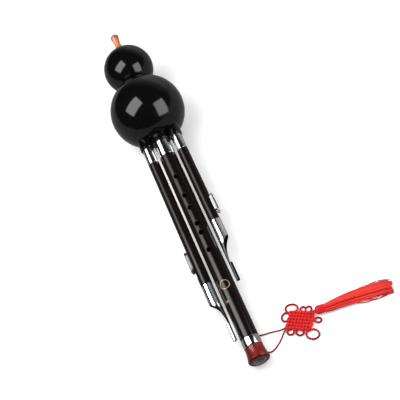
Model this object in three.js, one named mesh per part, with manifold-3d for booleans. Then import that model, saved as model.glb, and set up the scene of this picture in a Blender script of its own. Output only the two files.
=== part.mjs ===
import * as THREE from "three";
import { mergeVertices } from "three/addons/utils/BufferGeometryUtils.js";
import Module from "manifold-3d";

const wasm = await Module();
wasm.setup();

// A hulusi (gourd flute) lying on a floor, in millimetres.
// The instrument is drawn along its own axis: y runs up from the centre of the lower bulb to the mouth,
// z faces the finger holes and x runs across the three pipes. It is then tilted to rest on bulb and foot.
// The cord, the knot and the tassel are drawn on the floor, where z is the height.

// Fits and cutting
const seatGap = 0.3;
const overrun = 2;
const weldDistance = 0.001;

// Gourd
const lowerBulbRadius = 42;
const upperBulbRadius = 28.8;
const neckLength = 3.54;
const bulbWall = 3;
const neckRadius = 13.6;
const neckBeadDepth = 1;
const neckSpigotRadius = 10.4;
const neckSpigotDepth = 4.5;
const neckBoreRadius = 8;

// Mouthpiece and its seat ring
const mouthLength = 28.6;
const mouthBaseRadius = 4.45;
const mouthWaistRadius = 3.7;
const mouthLipRadius = 4.85;
const mouthLipRounding = 1.6;
const mouthBoreRadius = 2.3;
const mouthTenonDepth = 8;
const mouthRingRadius = 7;
const mouthRingHeight = 2.4;

// Base block with its three sockets
const plugRadius = 26.6;
const plugRimWidth = 3;
const plugRimHeight = 3.4;
const plugThickness = 3.5;
const socketLength = 49.2;
const socketChamfer = 1;

// Pipes
const pipeSpacing = 17.5;
const collarLength = 20.2;
const collarWall = 0.6;
const reedInsertLength = 26;
const reedReach = 41.5;
const corkLength = 14;
const corkRecess = 1.5;
const mainPipe = {
  radius: 9.25,
  boreRadius: 6.2,
  socketRadius: 10.4,
  socketBoreRadius: 8,
  reedTubeWall: 1.3,
  reedFlatDepth: 0.9,
  plateWidth: 5.4,
  plateLength: 16,
};
const dronePipe = {
  radius: 6.05,
  boreRadius: 3.7,
  socketRadius: 7.5,
  socketBoreRadius: 5.3,
  reedTubeWall: 0.9,
  reedFlatDepth: 0.6,
  plateWidth: 3.3,
  plateLength: 13,
};
const reedPlateThickness = 0.5;
const reedSlit = 0.4;
const reedTongueWidth = 2;
const reedWindowWidth = 2.2;
const reedFrameLength = 5;
const stopperFlange = 1.2;
const stopperDepth = 5;

// Main pipe, measured down from the centre of the lower bulb
const ferruleTop = 303.8;
const ferruleLength = 9.1;
const ferruleRadius = 9.55;
const footTenonRadius = 7.9;
const footTenonLength = 16;
const bellLength = 15.3;
const bellNeckRadius = 9.4;
const bellRadius = 11.1;
const bellRounding = 2.2;
const fingerHoleRadius = 2.6;
const fingerHoleShares = [0.1905, 0.2853, 0.3445, 0.4198, 0.4618, 0.5414];
const thumbHoleShare = 0.115;
const cordHoleRadius = 1.2;
const cordHoleSpacing = 8;
const cordHoleAboveFerrule = 4.8;
const ringMarkRadius = 5.3;
const ringMarkWidth = 1;
const ringMarkAboveFerrule = 60.1;
const dotMarkRadius = 1.4;
const dotMarkAboveFerrule = 42.1;
const dotMarkOffset = -4.2;
const markDepth = 0.5;
const markStand = 0.2;

// Drone pipes: where each black pipe ends, where its slide starts and how long its tail tube is
const longDrone = { pipeEnd: 231.3, slideTop: 187.7, scoopLength: 26.1, tailLength: 19.4 };
const shortDrone = { pipeEnd: 168.9, slideTop: 136.6, scoopLength: 29.7, tailLength: 21.3 };
const droneTenonLength = 12;
const endTubeRadius = 5.9;
const endTubeWall = 0.55;
const endTubeWideLength = 21.5;
const scoopNarrowing = 22;
const scoopFloor = 4;
const scoopEntryDrop = 3;
const scoopEntryReach = 0.3;
const scoopBellyDrop = 10.5;
const scoopBellyReach = 2.6;
const tailTubeRadius = 2;

// Drone slides, each in its track on a flat of the pipe
const slideFlat = 4.6;
const trackLength = 9;
const trackHeight = 4;
const trackWall = 0.5;
const trackBase = 0.4;
const trackLip = 0.8;
const trackGap = 0.25;
const slideWidth = 5;
const slideThickness = 0.6;
const slideTravel = 8;
const slideCurlRadius = 1.5;
const slideCurlTurns = 0.8;
const slideEndGap = 0.35;
const toneHoleRadius = 1.4;

// Cord, knot and tassel on the floor: x across the pipes, y up the pipes from below the lower bulb's centre
const cordRadius = 0.75;
const upperStrandRoute = [
  [0, -288.85, 4.73], [0.02, -288.9, 4.1], [0.2, -289.2, 3.05], [0.9, -290.1, 1.75],
  [2.2, -291.6, 0.95], [3.9, -293.3, 0.8], [6.1, -295.2, 0.78], [8.8, -297, 0.78],
  [11.8, -298, 0.78], [14.9, -298.6, 0.78], [18, -299.1, 0.78], [21, -299.8, 0.78],
  [24, -300.6, 0.78], [27, -301.4, 0.78], [29.7, -302, 0.85], [32.1, -302.35, 1.25],
  [34.3, -302.55, 1.8], [36.15, -302.6, 2.1],
];
const lowerStrandRoute = [
  [0, -296.8, 3.98], [0.02, -296.9, 3.4], [0.15, -297.5, 2.27], [0.5, -298.8, 1.2],
  [1.1, -300.6, 0.8], [2, -303.2, 0.78], [3.2, -306.5, 0.78], [4.6, -310, 0.78],
  [6.3, -313.4, 0.78], [8.5, -316.4, 0.78], [11.2, -318.2, 0.78], [14.4, -318.4, 0.78],
  [17.6, -317.2, 0.78], [20.6, -315.4, 0.78], [23.4, -313.4, 0.78], [26, -311.3, 0.78],
  [28.3, -309, 0.78], [30.1, -307, 0.85], [31.9, -305.5, 1.2], [34, -304.7, 1.75], [36.15, -304.5, 2.1],
];
const knotCentre = [50.5, -303.2];
const knotWidth = 30.6;
const knotThickness = 4.2;
const knotRounding = 1.2;
const knotEntryDepth = 1.3;
const knotCordRadius = 0.85;
const knotLeadLength = 5.5;
const knotEarTurn = -0.55;
// Corners and ears as shares of the knot's width, from its centre
const knotCornerShares = [[0.5, 0.029], [-0.144, 0.454], [-0.5, -0.029], [0.144, -0.454]];
const knotEarShares = [
  { at: [-0.085, 0.5425], half: [0.203, 0.157] },
  { at: [-0.3725, 0.3595], half: [0.131, 0.15] },
  { at: [0.219, 0.317], half: [0.088, 0.118] },
  { at: [0.3856, 0.242], half: [0.0915, 0.118] },
  { at: [0.513, -0.242], half: [0.1045, 0.082] },
  { at: [-0.4314, -0.193], half: [0.111, 0.085] },
  { at: [-0.1634, -0.34], half: [0.121, 0.1045] },
  { at: [0.17, -0.601], half: [0.206, 0.16] },
];
const tasselStart = [67.8, -301.9];
const tasselTurn = -0.184;
const tasselHeadLength = 8.5;
const tasselHeadRadius = 4.4;
const tasselLength = 68.2;
const tasselWidth = 16.6;
const tasselHeight = 8;
// The skirt's middle line as shares of its length, then its widths and heights along it
const tasselRouteShares = [
  [0, 0], [0.067, -0.009], [0.258, -0.019], [0.383, -0.034], [0.504, -0.051],
  [0.625, -0.069], [0.745, -0.089], [0.867, -0.109], [1, -0.148],
];
const tasselWidthShares = [0.52, 0.64, 0.78, 0.87, 0.89, 0.9, 0.92, 0.94, 1];
const tasselHeightShares = [1, 0.95, 0.8, 0.7, 0.625, 0.575, 0.525, 0.475, 0.375];
const tasselGrooveShare = 0.1;
const tasselGrooveStartShare = 0.25;

// Facets
const bulbSides = 36;
const bulbSteps = 12;
const roundSides = 24;
const smallSides = 16;
const holeSides = 12;
const cordSides = 8;
const roundingSteps = 4;
const bevelSteps = 3;
const domeSteps = 6;
const neckBeads = 2;
const mouthSteps = 6;
const bellSteps = 7;
const narrowingSteps = 9;
const scoopSteps = 12;
const curlSteps = 9;
const bendSteps = 8;
const bightSteps = 16;
const upperStrandSteps = 26;
const lowerStrandSteps = 34;
const earSides = 6;
const earSteps = 16;
const leadSteps = 6;
const tasselRings = 14;
const tasselLobes = 10;
const pointsPerLobe = 3;
const leanSteps = 8;

const finishes = {
  gourd: { color: 0x0b0b0c, roughness: 0.08, metalness: 0 },
  amber: { color: 0xb5653a, roughness: 0.3, metalness: 0 },
  chrome: { color: 0xd9dadc, roughness: 0.12, metalness: 1 },
  pipe: { color: 0x120c0b, roughness: 0.22, metalness: 0 },
  brass: { color: 0xc39a4a, roughness: 0.35, metalness: 1 },
  cork: { color: 0xa97b4f, roughness: 0.9, metalness: 0 },
  redResin: { color: 0x7a120d, roughness: 0.15, metalness: 0 },
  gold: { color: 0xb89a72, roughness: 0.4, metalness: 1 },
  redCord: { color: 0xc8141e, roughness: 0.8, metalness: 0 },
  redSilk: { color: 0xe2281e, roughness: 0.7, metalness: 0 },
};

function addPiece(group, name, geometry, finish) {
  const mesh = new THREE.Mesh(geometry, new THREE.MeshStandardMaterial(finishes[finish]));
  mesh.name = name;
  group.add(mesh);
  return mesh;
}

function solidOf(geometry) {
  const flat = geometry.index ? geometry.toNonIndexed() : geometry;
  const bare = new THREE.BufferGeometry();
  bare.setAttribute("position", flat.getAttribute("position"));
  const merged = mergeVertices(bare, weldDistance);
  const vertProperties = merged.getAttribute("position").array;
  const triVerts = new Uint32Array(merged.index.array);
  return new wasm.Manifold(new wasm.Mesh({ numProp: 3, vertProperties, triVerts }));
}

function geometryOf(solid) {
  const mesh = solid.getMesh();
  const geometry = new THREE.BufferGeometry();
  geometry.setAttribute("position", new THREE.BufferAttribute(mesh.vertProperties, 3));
  geometry.setIndex(new THREE.BufferAttribute(mesh.triVerts, 1));
  geometry.computeVertexNormals();
  return geometry;
}

// Cuts every tool from a geometry.
function cutFrom(geometry, tools) {
  return geometryOf(tools.reduce((solid, tool) => solid.subtract(solidOf(tool)), solidOf(geometry)));
}

function joinedWith(geometry, others) {
  return geometryOf(others.reduce((solid, other) => solid.add(solidOf(other)), solidOf(geometry)));
}

// Turns an outline of [radius, height] pairs round the y axis, with a flat facet at the back.
function turned(outline, sides) {
  const points = outline.map(([radius, height]) => new THREE.Vector2(radius, height));
  if (!THREE.ShapeUtils.isClockWise(points)) points.reverse();
  if (points[0].x > 0 || points[points.length - 1].x > 0) points.push(points[0].clone());
  points.reverse();
  return new THREE.LatheGeometry(points, sides, Math.PI / sides);
}

function ring(outerRadius, innerRadius, bottom, top, sides) {
  const outline = [[innerRadius, bottom], [outerRadius, bottom], [outerRadius, top], [innerRadius, top]];
  return turned(outline, sides);
}

function rod(radius, bottom, top, sides) {
  return turned([[0, bottom], [radius, bottom], [radius, top], [0, top]], sides);
}

// A round cutter through a wall: it starts on the axis and points along +z before it is turned round y.
function radialCutter(radius, reach, height, turn) {
  const cutter = rod(radius, 0, reach, holeSides);
  cutter.rotateX(Math.PI / 2);
  cutter.rotateY(turn);
  cutter.translate(0, height, 0);
  return cutter;
}

function box(width, height, depth, x, y, z) {
  const block = new THREE.BoxGeometry(width, height, depth);
  block.translate(x, y, z);
  return block;
}

function arc(centreRadius, centreHeight, radius, fromAngle, toAngle, steps) {
  return Array.from({ length: steps + 1 }, (_, i) => {
    const angle = fromAngle + ((toAngle - fromAngle) * i) / steps;
    return [centreRadius + radius * Math.cos(angle), centreHeight + radius * Math.sin(angle)];
  });
}

function ease(share) {
  return share * share * (3 - 2 * share);
}

function chord(radius, offset) {
  return Math.sqrt(radius * radius - offset * offset);
}

// Seats of the gourd, as heights above the centre of the lower bulb
const neckSeatRadius = neckRadius + seatGap;
const lowerSeat = chord(lowerBulbRadius, neckSeatRadius);
const upperSeat = lowerSeat + neckLength;
const bulbSpacing = upperSeat + chord(upperBulbRadius, neckSeatRadius);
const mouthSeatRadius = mouthRingRadius + seatGap;
const mouthSeat = bulbSpacing + chord(upperBulbRadius, mouthSeatRadius);
const neckHoleRadius = neckSpigotRadius + seatGap;
const plugHoleRadius = plugRadius + seatGap;

// A hollow ball with a flat seat and a hole at each end.
function bulb(centre, radius, top, topHole, bottom, bottomHole, sides) {
  const inner = radius - bulbWall;
  const outside = arc(0, centre, radius, Math.asin((bottom - centre) / radius),
    Math.asin((top - centre) / radius), bulbSteps);
  const inside = arc(0, centre, inner, Math.acos(topHole / inner),
    -Math.acos(bottomHole / inner), bulbSteps);
  return turned([[bottomHole, bottom], ...outside, [topHole, top], ...inside], sides);
}

function addGourd(group) {
  const lowerRim = -chord(lowerBulbRadius, plugHoleRadius);
  addPiece(group, "lower_bulb", bulb(0, lowerBulbRadius, lowerSeat, neckHoleRadius, lowerRim,
    plugHoleRadius, bulbSides), "gourd");
  addPiece(group, "upper_bulb", bulb(bulbSpacing, upperBulbRadius, mouthSeat, mouthBaseRadius + seatGap,
    upperSeat, neckHoleRadius, bulbSides), "gourd");

  const beadBottom = lowerSeat + seatGap;
  const beadTop = upperSeat - seatGap;
  const beadHalf = (beadTop - beadBottom) / neckBeads / 2;
  const beadCore = neckRadius - neckBeadDepth;
  const beads = Array.from({ length: neckBeads }, (_, i) => beadBottom + beadHalf * (2 * i + 1)).flatMap(
    (height) => arc(beadCore, height, neckBeadDepth, -Math.PI / 2, Math.PI / 2, roundingSteps).map(
      ([radius, at]) => [radius, height + ((at - height) * beadHalf) / neckBeadDepth]));
  addPiece(group, "neck_coupling", turned([
    [neckBoreRadius, lowerSeat - neckSpigotDepth], [neckSpigotRadius, lowerSeat - neckSpigotDepth],
    [neckSpigotRadius, beadBottom], ...beads, [neckSpigotRadius, beadTop],
    [neckSpigotRadius, upperSeat + neckSpigotDepth], [neckBoreRadius, upperSeat + neckSpigotDepth],
  ], roundSides), "gourd");
}

function addMouthpiece(group) {
  const ringBottom = mouthSeat + seatGap;
  const ringTop = ringBottom + mouthRingHeight;
  addPiece(group, "mouthpiece_ring", turned([
    [mouthBaseRadius + seatGap, ringBottom], [mouthRingRadius, ringBottom],
    ...arc(mouthRingRadius - mouthRingHeight / 2, ringTop - mouthRingHeight / 2, mouthRingHeight / 2,
      0, Math.PI / 2, roundingSteps),
    [mouthBaseRadius + seatGap, ringTop],
  ], roundSides), "chrome");

  const tip = mouthSeat + mouthLength;
  const lip = tip - mouthLipRounding;
  const waist = (ringTop + lip) / 2;
  const side = (fromRadius, toRadius, from, to) => Array.from({ length: mouthSteps }, (_, i) => [
    fromRadius + (toRadius - fromRadius) * ease(i / mouthSteps),
    from + ((to - from) * i) / mouthSteps,
  ]);
  addPiece(group, "mouthpiece", turned([
    [mouthBoreRadius, mouthSeat - mouthTenonDepth], [mouthBaseRadius, mouthSeat - mouthTenonDepth],
    ...side(mouthBaseRadius, mouthWaistRadius, ringTop, waist),
    ...side(mouthWaistRadius, mouthLipRadius, waist, lip),
    ...arc(mouthLipRadius - mouthLipRounding, lip, mouthLipRounding, 0, Math.PI / 2, roundingSteps),
    [mouthBoreRadius, tip],
  ], roundSides), "amber");
}

const pipePlaces = [
  { pipe: dronePipe, x: -pipeSpacing },
  { pipe: mainPipe, x: 0 },
  { pipe: dronePipe, x: pipeSpacing },
];

// The block that closes the lower bulb: a domed disc with three sockets, bored through.
function addBasePlug(group) {
  const rimBottom = -chord(lowerBulbRadius, plugRadius);
  const rimTop = rimBottom + plugRimHeight;
  const floor = rimBottom + plugThickness / 2;
  const rimAngle = -Math.acos(plugRadius / lowerBulbRadius);
  const dome = arc(0, 0, lowerBulbRadius, rimAngle, -Math.PI / 2, domeSteps);
  const disc = turned([
    [0, floor], [plugRadius - plugRimWidth, floor], [plugRadius - plugRimWidth, rimTop],
    [plugRadius, rimTop], ...dome.slice(0, -1), [0, -lowerBulbRadius],
  ], roundSides);
  const sockets = pipePlaces.map(({ pipe, x }) => {
    const socket = turned([
      [0, -socketLength], [pipe.socketRadius - socketChamfer, -socketLength],
      [pipe.socketRadius, -socketLength + socketChamfer], [pipe.socketRadius, floor - seatGap],
      [0, floor - seatGap],
    ], roundSides);
    return socket.translate(x, 0, 0);
  });
  const bores = pipePlaces.map(({ pipe, x }) =>
    rod(pipe.socketBoreRadius, -socketLength - overrun, floor + overrun, roundSides).translate(x, 0, 0));
  addPiece(group, "base_plug", cutFrom(joinedWith(disc, sockets), bores), "gourd");
}

const pipeTop = socketLength + seatGap;

// The parts at the top of every pipe: collar, reed tube with plate and stopper, and cork sleeve.
function addReedEnd(group, name, pipe) {
  addPiece(group, name + "_top_collar",
    ring(pipe.radius, pipe.radius - collarWall, -pipeTop - collarLength, -pipeTop, roundSides), "chrome");

  const tubeRadius = pipe.boreRadius - seatGap;
  const tubeBore = tubeRadius - pipe.reedTubeWall;
  const tubeTop = reedReach - pipeTop;
  const plateTop = tubeTop - stopperDepth + seatGap;
  const plateMiddle = plateTop - pipe.plateLength / 2;
  const flatFace = tubeRadius - pipe.reedFlatDepth;
  const tube = ring(tubeRadius, tubeBore, -pipeTop - reedInsertLength, tubeTop, smallSides);
  const flat = box(tubeRadius * 2, pipe.plateLength + seatGap * 2, tubeRadius,
    0, plateMiddle, flatFace + tubeRadius / 2);
  const windowLength = pipe.plateLength - reedFrameLength;
  const window = box(reedWindowWidth, windowLength, tubeRadius + overrun, 0, plateMiddle,
    (tubeRadius + overrun) / 2);
  addPiece(group, name + "_reed_tube", cutFrom(tube, [flat, window]), "brass");

  const plate = new THREE.Shape([
    new THREE.Vector2(-pipe.plateWidth / 2, -pipe.plateLength / 2),
    new THREE.Vector2(pipe.plateWidth / 2, -pipe.plateLength / 2),
    new THREE.Vector2(pipe.plateWidth / 2, pipe.plateLength / 2),
    new THREE.Vector2(-pipe.plateWidth / 2, pipe.plateLength / 2),
  ]);
  const tongueTip = windowLength / 2;
  plate.holes.push(new THREE.Path([
    new THREE.Vector2(-reedTongueWidth / 2, -tongueTip),
    new THREE.Vector2(0, tongueTip),
    new THREE.Vector2(reedTongueWidth / 2, -tongueTip),
    new THREE.Vector2(reedTongueWidth / 2 - reedSlit, -tongueTip),
    new THREE.Vector2(0, 0),
    new THREE.Vector2(reedSlit - reedTongueWidth / 2, -tongueTip),
  ]));
  const plateGeometry = new THREE.ExtrudeGeometry(plate,
    { depth: reedPlateThickness, bevelEnabled: false });
  plateGeometry.translate(0, plateMiddle, flatFace + seatGap);
  addPiece(group, name + "_reed_plate", plateGeometry, "brass");

  addPiece(group, name + "_reed_stopper", turned([
    [0, tubeTop - stopperDepth], [tubeBore - seatGap, tubeTop - stopperDepth],
    [tubeBore - seatGap, tubeTop + seatGap], [tubeRadius, tubeTop + seatGap],
    [tubeRadius, tubeTop + seatGap + stopperFlange], [0, tubeTop + seatGap + stopperFlange],
  ], smallSides), "cork");

  const corkBottom = -socketLength + corkRecess;
  addPiece(group, name + "_cork",
    ring(pipe.socketBoreRadius - seatGap, tubeRadius + seatGap, corkBottom, corkBottom + corkLength,
      roundSides), "cork");
}

const footEnd = ferruleTop + ferruleLength + seatGap + bellLength;

function addMainPipe(group) {
  const { radius, boreRadius } = mainPipe;
  const collarSeat = radius - collarWall - seatGap;
  const body = turned([
    [boreRadius, -pipeTop], [collarSeat, -pipeTop],
    [collarSeat, -pipeTop - collarLength - seatGap], [radius, -pipeTop - collarLength - seatGap],
    [radius, -ferruleTop + seatGap], [footTenonRadius, -ferruleTop + seatGap],
    [footTenonRadius, -ferruleTop - footTenonLength], [boreRadius, -ferruleTop - footTenonLength],
  ], roundSides);

  const reach = radius + overrun;
  const sounding = footEnd - pipeTop;
  const fingerHoles = fingerHoleShares.map((share) =>
    radialCutter(fingerHoleRadius, reach, -pipeTop - sounding * share, 0));
  const thumbHole = radialCutter(fingerHoleRadius, reach, -pipeTop - sounding * thumbHoleShare, Math.PI);
  const cordHoles = [0, 1].map((i) =>
    radialCutter(cordHoleRadius, reach, -ferruleTop + cordHoleAboveFerrule + i * cordHoleSpacing, Math.PI));

  const ringCentre = -ferruleTop + ringMarkAboveFerrule;
  const dotCentre = -ferruleTop + dotMarkAboveFerrule;
  const facing = (radiusOfMark) =>
    rod(radiusOfMark, 0, reach, smallSides).rotateX(Math.PI / 2);
  const ringMark = solidOf(facing(ringMarkRadius).translate(0, ringCentre, 0))
    .subtract(solidOf(facing(ringMarkRadius - ringMarkWidth).translate(0, ringCentre, 0)));
  const dotMark = solidOf(facing(dotMarkRadius).translate(dotMarkOffset, dotCentre, 0));
  const skinBottom = dotCentre - ringMarkRadius;
  const skinTop = ringCentre + ringMarkRadius + overrun;
  const skin = (inner, outer) => solidOf(ring(outer, inner, skinBottom, skinTop, roundSides));
  const recess = skin(radius - markDepth, radius + overrun);
  const inlay = skin(radius - markDepth + seatGap, radius + markStand);

  const wideRing = solidOf(facing(ringMarkRadius + seatGap).translate(0, ringCentre, 0))
    .subtract(solidOf(facing(ringMarkRadius - ringMarkWidth - seatGap).translate(0, ringCentre, 0)));
  const wideDot = solidOf(facing(dotMarkRadius + seatGap).translate(dotMarkOffset, dotCentre, 0));
  const recessed = solidOf(cutFrom(body, [...fingerHoles, thumbHole, ...cordHoles]))
    .subtract(wideRing.intersect(recess))
    .subtract(wideDot.intersect(recess));
  addPiece(group, "main_pipe", geometryOf(recessed), "pipe");
  addPiece(group, "ring_mark", geometryOf(ringMark.intersect(inlay)), "gold");
  addPiece(group, "dot_mark", geometryOf(dotMark.intersect(inlay)), "gold");
}

function addFoot(group) {
  addPiece(group, "foot_ferrule",
    ring(ferruleRadius, footTenonRadius + seatGap, -ferruleTop - ferruleLength, -ferruleTop, roundSides),
    "chrome");

  const bellTop = -ferruleTop - ferruleLength - seatGap;
  const rimHeight = -footEnd + bellRounding;
  const flare = Array.from({ length: bellSteps + 1 }, (_, i) => {
    const share = i / bellSteps;
    return [bellNeckRadius + (bellRadius - bellNeckRadius) * share * share,
      bellTop + (rimHeight - bellTop) * share];
  });
  const socketEnd = -ferruleTop - footTenonLength - seatGap;
  addPiece(group, "foot_bell", turned([
    [footTenonRadius + seatGap, bellTop], ...flare,
    ...arc(bellRadius - bellRounding, rimHeight, bellRounding, 0, -Math.PI / 2, roundingSteps).slice(1),
    [mainPipe.boreRadius, -footEnd], [mainPipe.boreRadius, socketEnd],
    [footTenonRadius + seatGap, socketEnd],
  ], roundSides), "redResin");
}

// A tube whose round sections shift along x and change size: stations hold height, shift and both radii.
function shiftedTube(stations, sides) {
  const outside = stations.map((station) => [station.y, station.x, station.outer]);
  const inside = stations.map((station) => [station.y, station.x, station.inner]);
  const walls = [...outside, ...inside.reverse()];
  const positions = walls.flatMap(([y, x, radius]) =>
    Array.from({ length: sides }, (_, i) => {
      const angle = ((2 * i + 1) / sides) * Math.PI;
      return [x + radius * Math.sin(angle), y, radius * Math.cos(angle)];
    }).flat());
  const faces = walls.flatMap((_, k) =>
    Array.from({ length: sides }, (_, i) => {
      const here = k * sides;
      const next = ((k + 1) % walls.length) * sides;
      const j = (i + 1) % sides;
      return [here + i, next + i, here + j, here + j, next + i, next + j];
    }).flat());
  const geometry = new THREE.BufferGeometry();
  geometry.setAttribute("position", new THREE.Float32BufferAttribute(positions, 3));
  geometry.setIndex(faces);
  geometry.computeVertexNormals();
  return geometry;
}

// The polished end of a drone: a wide tube, a scoop in its outer side, and a narrow tail on its inner side.
function endTube({ pipeEnd, scoopLength, tailLength }) {
  const top = -pipeEnd - seatGap;
  const scoopTop = top - endTubeWideLength;
  const tailTop = scoopTop - scoopLength;
  const station = (y, share) => {
    const outer = endTubeRadius + (tailTubeRadius - endTubeRadius) * ease(share);
    return { y, x: outer - endTubeRadius, outer, inner: outer - endTubeWall };
  };
  const narrowing = Array.from({ length: narrowingSteps + 1 }, (_, i) =>
    station(scoopTop - (scoopNarrowing * i) / narrowingSteps, i / narrowingSteps));
  const stations = [station(top, 0), ...narrowing, station(tailTop - tailLength, 1)];
  const tube = shiftedTube(stations, smallSides);

  const cut = new THREE.Shape();
  const side = endTubeRadius + overrun;
  cut.moveTo(side, scoopTop);
  cut.lineTo(endTubeRadius, scoopTop);
  cut.bezierCurveTo(-scoopEntryReach, scoopTop - scoopEntryDrop,
    -scoopBellyReach, scoopTop - scoopBellyDrop, -scoopFloor - seatGap, tailTop);
  cut.lineTo(side, tailTop);
  const depth = endTubeRadius * 2 + overrun;
  const cutter = new THREE.ExtrudeGeometry(cut, { depth, bevelEnabled: false, curveSegments: scoopSteps });
  cutter.translate(0, 0, -depth / 2);
  return cutFrom(tube, [cutter]);
}

// A flat strip seen from its edge: its middle line is thickened to both sides.
function ribbonShape(line, thickness) {
  const normals = line.map((point, i) => {
    const before = line[Math.max(0, i - 1)];
    const after = line[Math.min(line.length - 1, i + 1)];
    return after.clone().sub(before).normalize().rotateAround(new THREE.Vector2(), Math.PI / 2);
  });
  const shifted = (sign) =>
    line.map((point, i) => point.clone().addScaledVector(normals[i], (sign * thickness) / 2));
  return new THREE.Shape([...shifted(1), ...shifted(-1).reverse()]);
}

const curlOuter = slideCurlRadius + slideThickness / 2;
const slideSpan = trackLength + slideTravel + (curlOuter + slideEndGap) * 2;
const trackFace = slideFlat + seatGap;
const stripMiddle = trackFace + trackBase + trackGap + slideThickness / 2;
const channelLength = trackLength + slideTravel;

function trackMiddleBelow(upperCurl) {
  return upperCurl - slideSpan + curlOuter + slideEndGap + trackLength / 2;
}

// A strip with a curl at each end. Its hole comes over the tone hole when it is pushed to the foot.
function slideGeometry(upperCurl) {
  const curlCentre = stripMiddle + slideCurlRadius;
  const curl = (centre, way) => Array.from({ length: curlSteps + 1 }, (_, i) => {
    const angle = (Math.PI * 2 * slideCurlTurns * i) / curlSteps;
    return new THREE.Vector2(curlCentre - slideCurlRadius * Math.cos(angle),
      centre + way * slideCurlRadius * Math.sin(angle));
  });
  const line = [...curl(upperCurl, 1).reverse(), ...curl(upperCurl - slideSpan, -1)];
  const strip = new THREE.ExtrudeGeometry(ribbonShape(line, slideThickness),
    { depth: slideWidth, bevelEnabled: false });
  strip.translate(0, 0, -slideWidth / 2);
  const holeHeight = trackMiddleBelow(upperCurl) + slideTravel;
  return cutFrom(strip, [radialCutter(toneHoleRadius, stripMiddle + overrun, holeHeight, Math.PI / 2)]);
}

// A channel as long as the strip between its curls. The two lips over the strip leave room for its travel.
function trackGeometry(middle) {
  const inside = slideWidth / 2 + trackGap;
  const outside = inside + trackWall;
  const floor = trackFace + trackBase;
  const top = trackFace + trackHeight;
  const section = new THREE.Shape([
    new THREE.Vector2(trackFace, -outside), new THREE.Vector2(top, -outside),
    new THREE.Vector2(top, -inside), new THREE.Vector2(floor, -inside),
    new THREE.Vector2(floor, inside), new THREE.Vector2(top, inside),
    new THREE.Vector2(top, outside), new THREE.Vector2(trackFace, outside),
  ]);
  const channel = new THREE.ExtrudeGeometry(section, { depth: channelLength, bevelEnabled: false });
  channel.rotateX(-Math.PI / 2);
  channel.translate(0, middle - trackLength / 2, 0);
  const roof = stripMiddle + slideThickness / 2 + trackGap;
  const lipWidth = trackLip + trackGap + trackWall / 2;
  const lips = [-1, 1].map((side) => box(trackBase, trackLength, lipWidth,
    roof + trackBase / 2, middle, side * (inside + (trackWall - lipWidth) / 2)));
  return cutFrom(joinedWith(channel, lips), [radialCutter(toneHoleRadius, stripMiddle, middle, Math.PI / 2)]);
}

// A drone, with its outer side towards +x.
function addDrone(group, name, drone) {
  const { radius, boreRadius } = dronePipe;
  const collarSeat = radius - collarWall - seatGap;
  const tenonRadius = endTubeRadius - endTubeWall - seatGap;
  const upperCurl = -drone.slideTop - curlOuter;
  const trackMiddle = trackMiddleBelow(upperCurl);
  const tube = turned([
    [boreRadius, -pipeTop], [collarSeat, -pipeTop],
    [collarSeat, -pipeTop - collarLength - seatGap], [radius, -pipeTop - collarLength - seatGap],
    [radius, -drone.pipeEnd], [tenonRadius, -drone.pipeEnd],
    [tenonRadius, -drone.pipeEnd - droneTenonLength], [boreRadius, -drone.pipeEnd - droneTenonLength],
  ], roundSides);
  const flatLength = channelLength + seatGap * 2;
  const flatMiddle = trackMiddle + slideTravel / 2;
  const flat = box(radius, flatLength, radius * 2 + overrun, slideFlat + radius / 2, flatMiddle, 0);
  const toneHole = radialCutter(toneHoleRadius, radius + overrun, trackMiddle, Math.PI / 2);
  addPiece(group, name + "_slide_track", trackGeometry(trackMiddle), "chrome");
  addPiece(group, name + "_pipe", cutFrom(tube, [flat, slideRelief(upperCurl), toneHole]), "pipe");
  addPiece(group, name + "_slide", slideGeometry(upperCurl), "chrome");
  addPiece(group, name + "_end_tube", endTube(drone), "chrome");
  addReedEnd(group, name, dronePipe);
}

// A shallow flat under the strip, from its upper curl to the lowest place that its lower curl reaches.
function slideRelief(upperCurl) {
  const { radius } = dronePipe;
  const face = stripMiddle - slideThickness / 2 - trackGap;
  const top = upperCurl + curlOuter + slideEndGap;
  const bottom = upperCurl - slideSpan - slideTravel - curlOuter - slideEndGap;
  return box(radius, top - bottom, radius * 2 + overrun, face + radius / 2, (top + bottom) / 2, 0);
}

function tubeAlong(points, radius, sides, steps) {
  const section = new THREE.Shape(Array.from({ length: sides }, (_, i) => {
    const angle = (i / sides) * Math.PI * 2;
    return new THREE.Vector2(radius * Math.cos(angle), radius * Math.sin(angle));
  }));
  const path = new THREE.CatmullRomCurve3(points.map((p) => new THREE.Vector3(...p)), false, "centripetal");
  return new THREE.ExtrudeGeometry(section, { steps, bevelEnabled: false, extrudePath: path });
}

// The bight inside the main pipe, from the upper cord hole round to the lower one.
function addCordBight(group) {
  const lowerHole = -ferruleTop + cordHoleAboveFerrule;
  const upperHole = lowerHole + cordHoleSpacing;
  const middle = (lowerHole + upperHole) / 2;
  const turn = cordHoleSpacing / 2;
  const wall = -mainPipe.boreRadius;
  const bend = arc(0, 0, turn, 0, Math.PI, bendSteps).map(
    ([along, out]) => [0, middle + along, wall + out]);
  const mouth = -mainPipe.radius;
  const inWall = (wall + mouth) / 2;
  const points = [[0, upperHole, mouth], [0, upperHole, inWall], ...bend,
    [0, lowerHole, inWall], [0, lowerHole, mouth]];
  addPiece(group, "cord_bight", tubeAlong(points, cordRadius, cordSides, bightSteps), "redCord");
}

function ofKnotWidth([x, y]) {
  return new THREE.Vector2(x * knotWidth, y * knotWidth);
}

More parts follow.
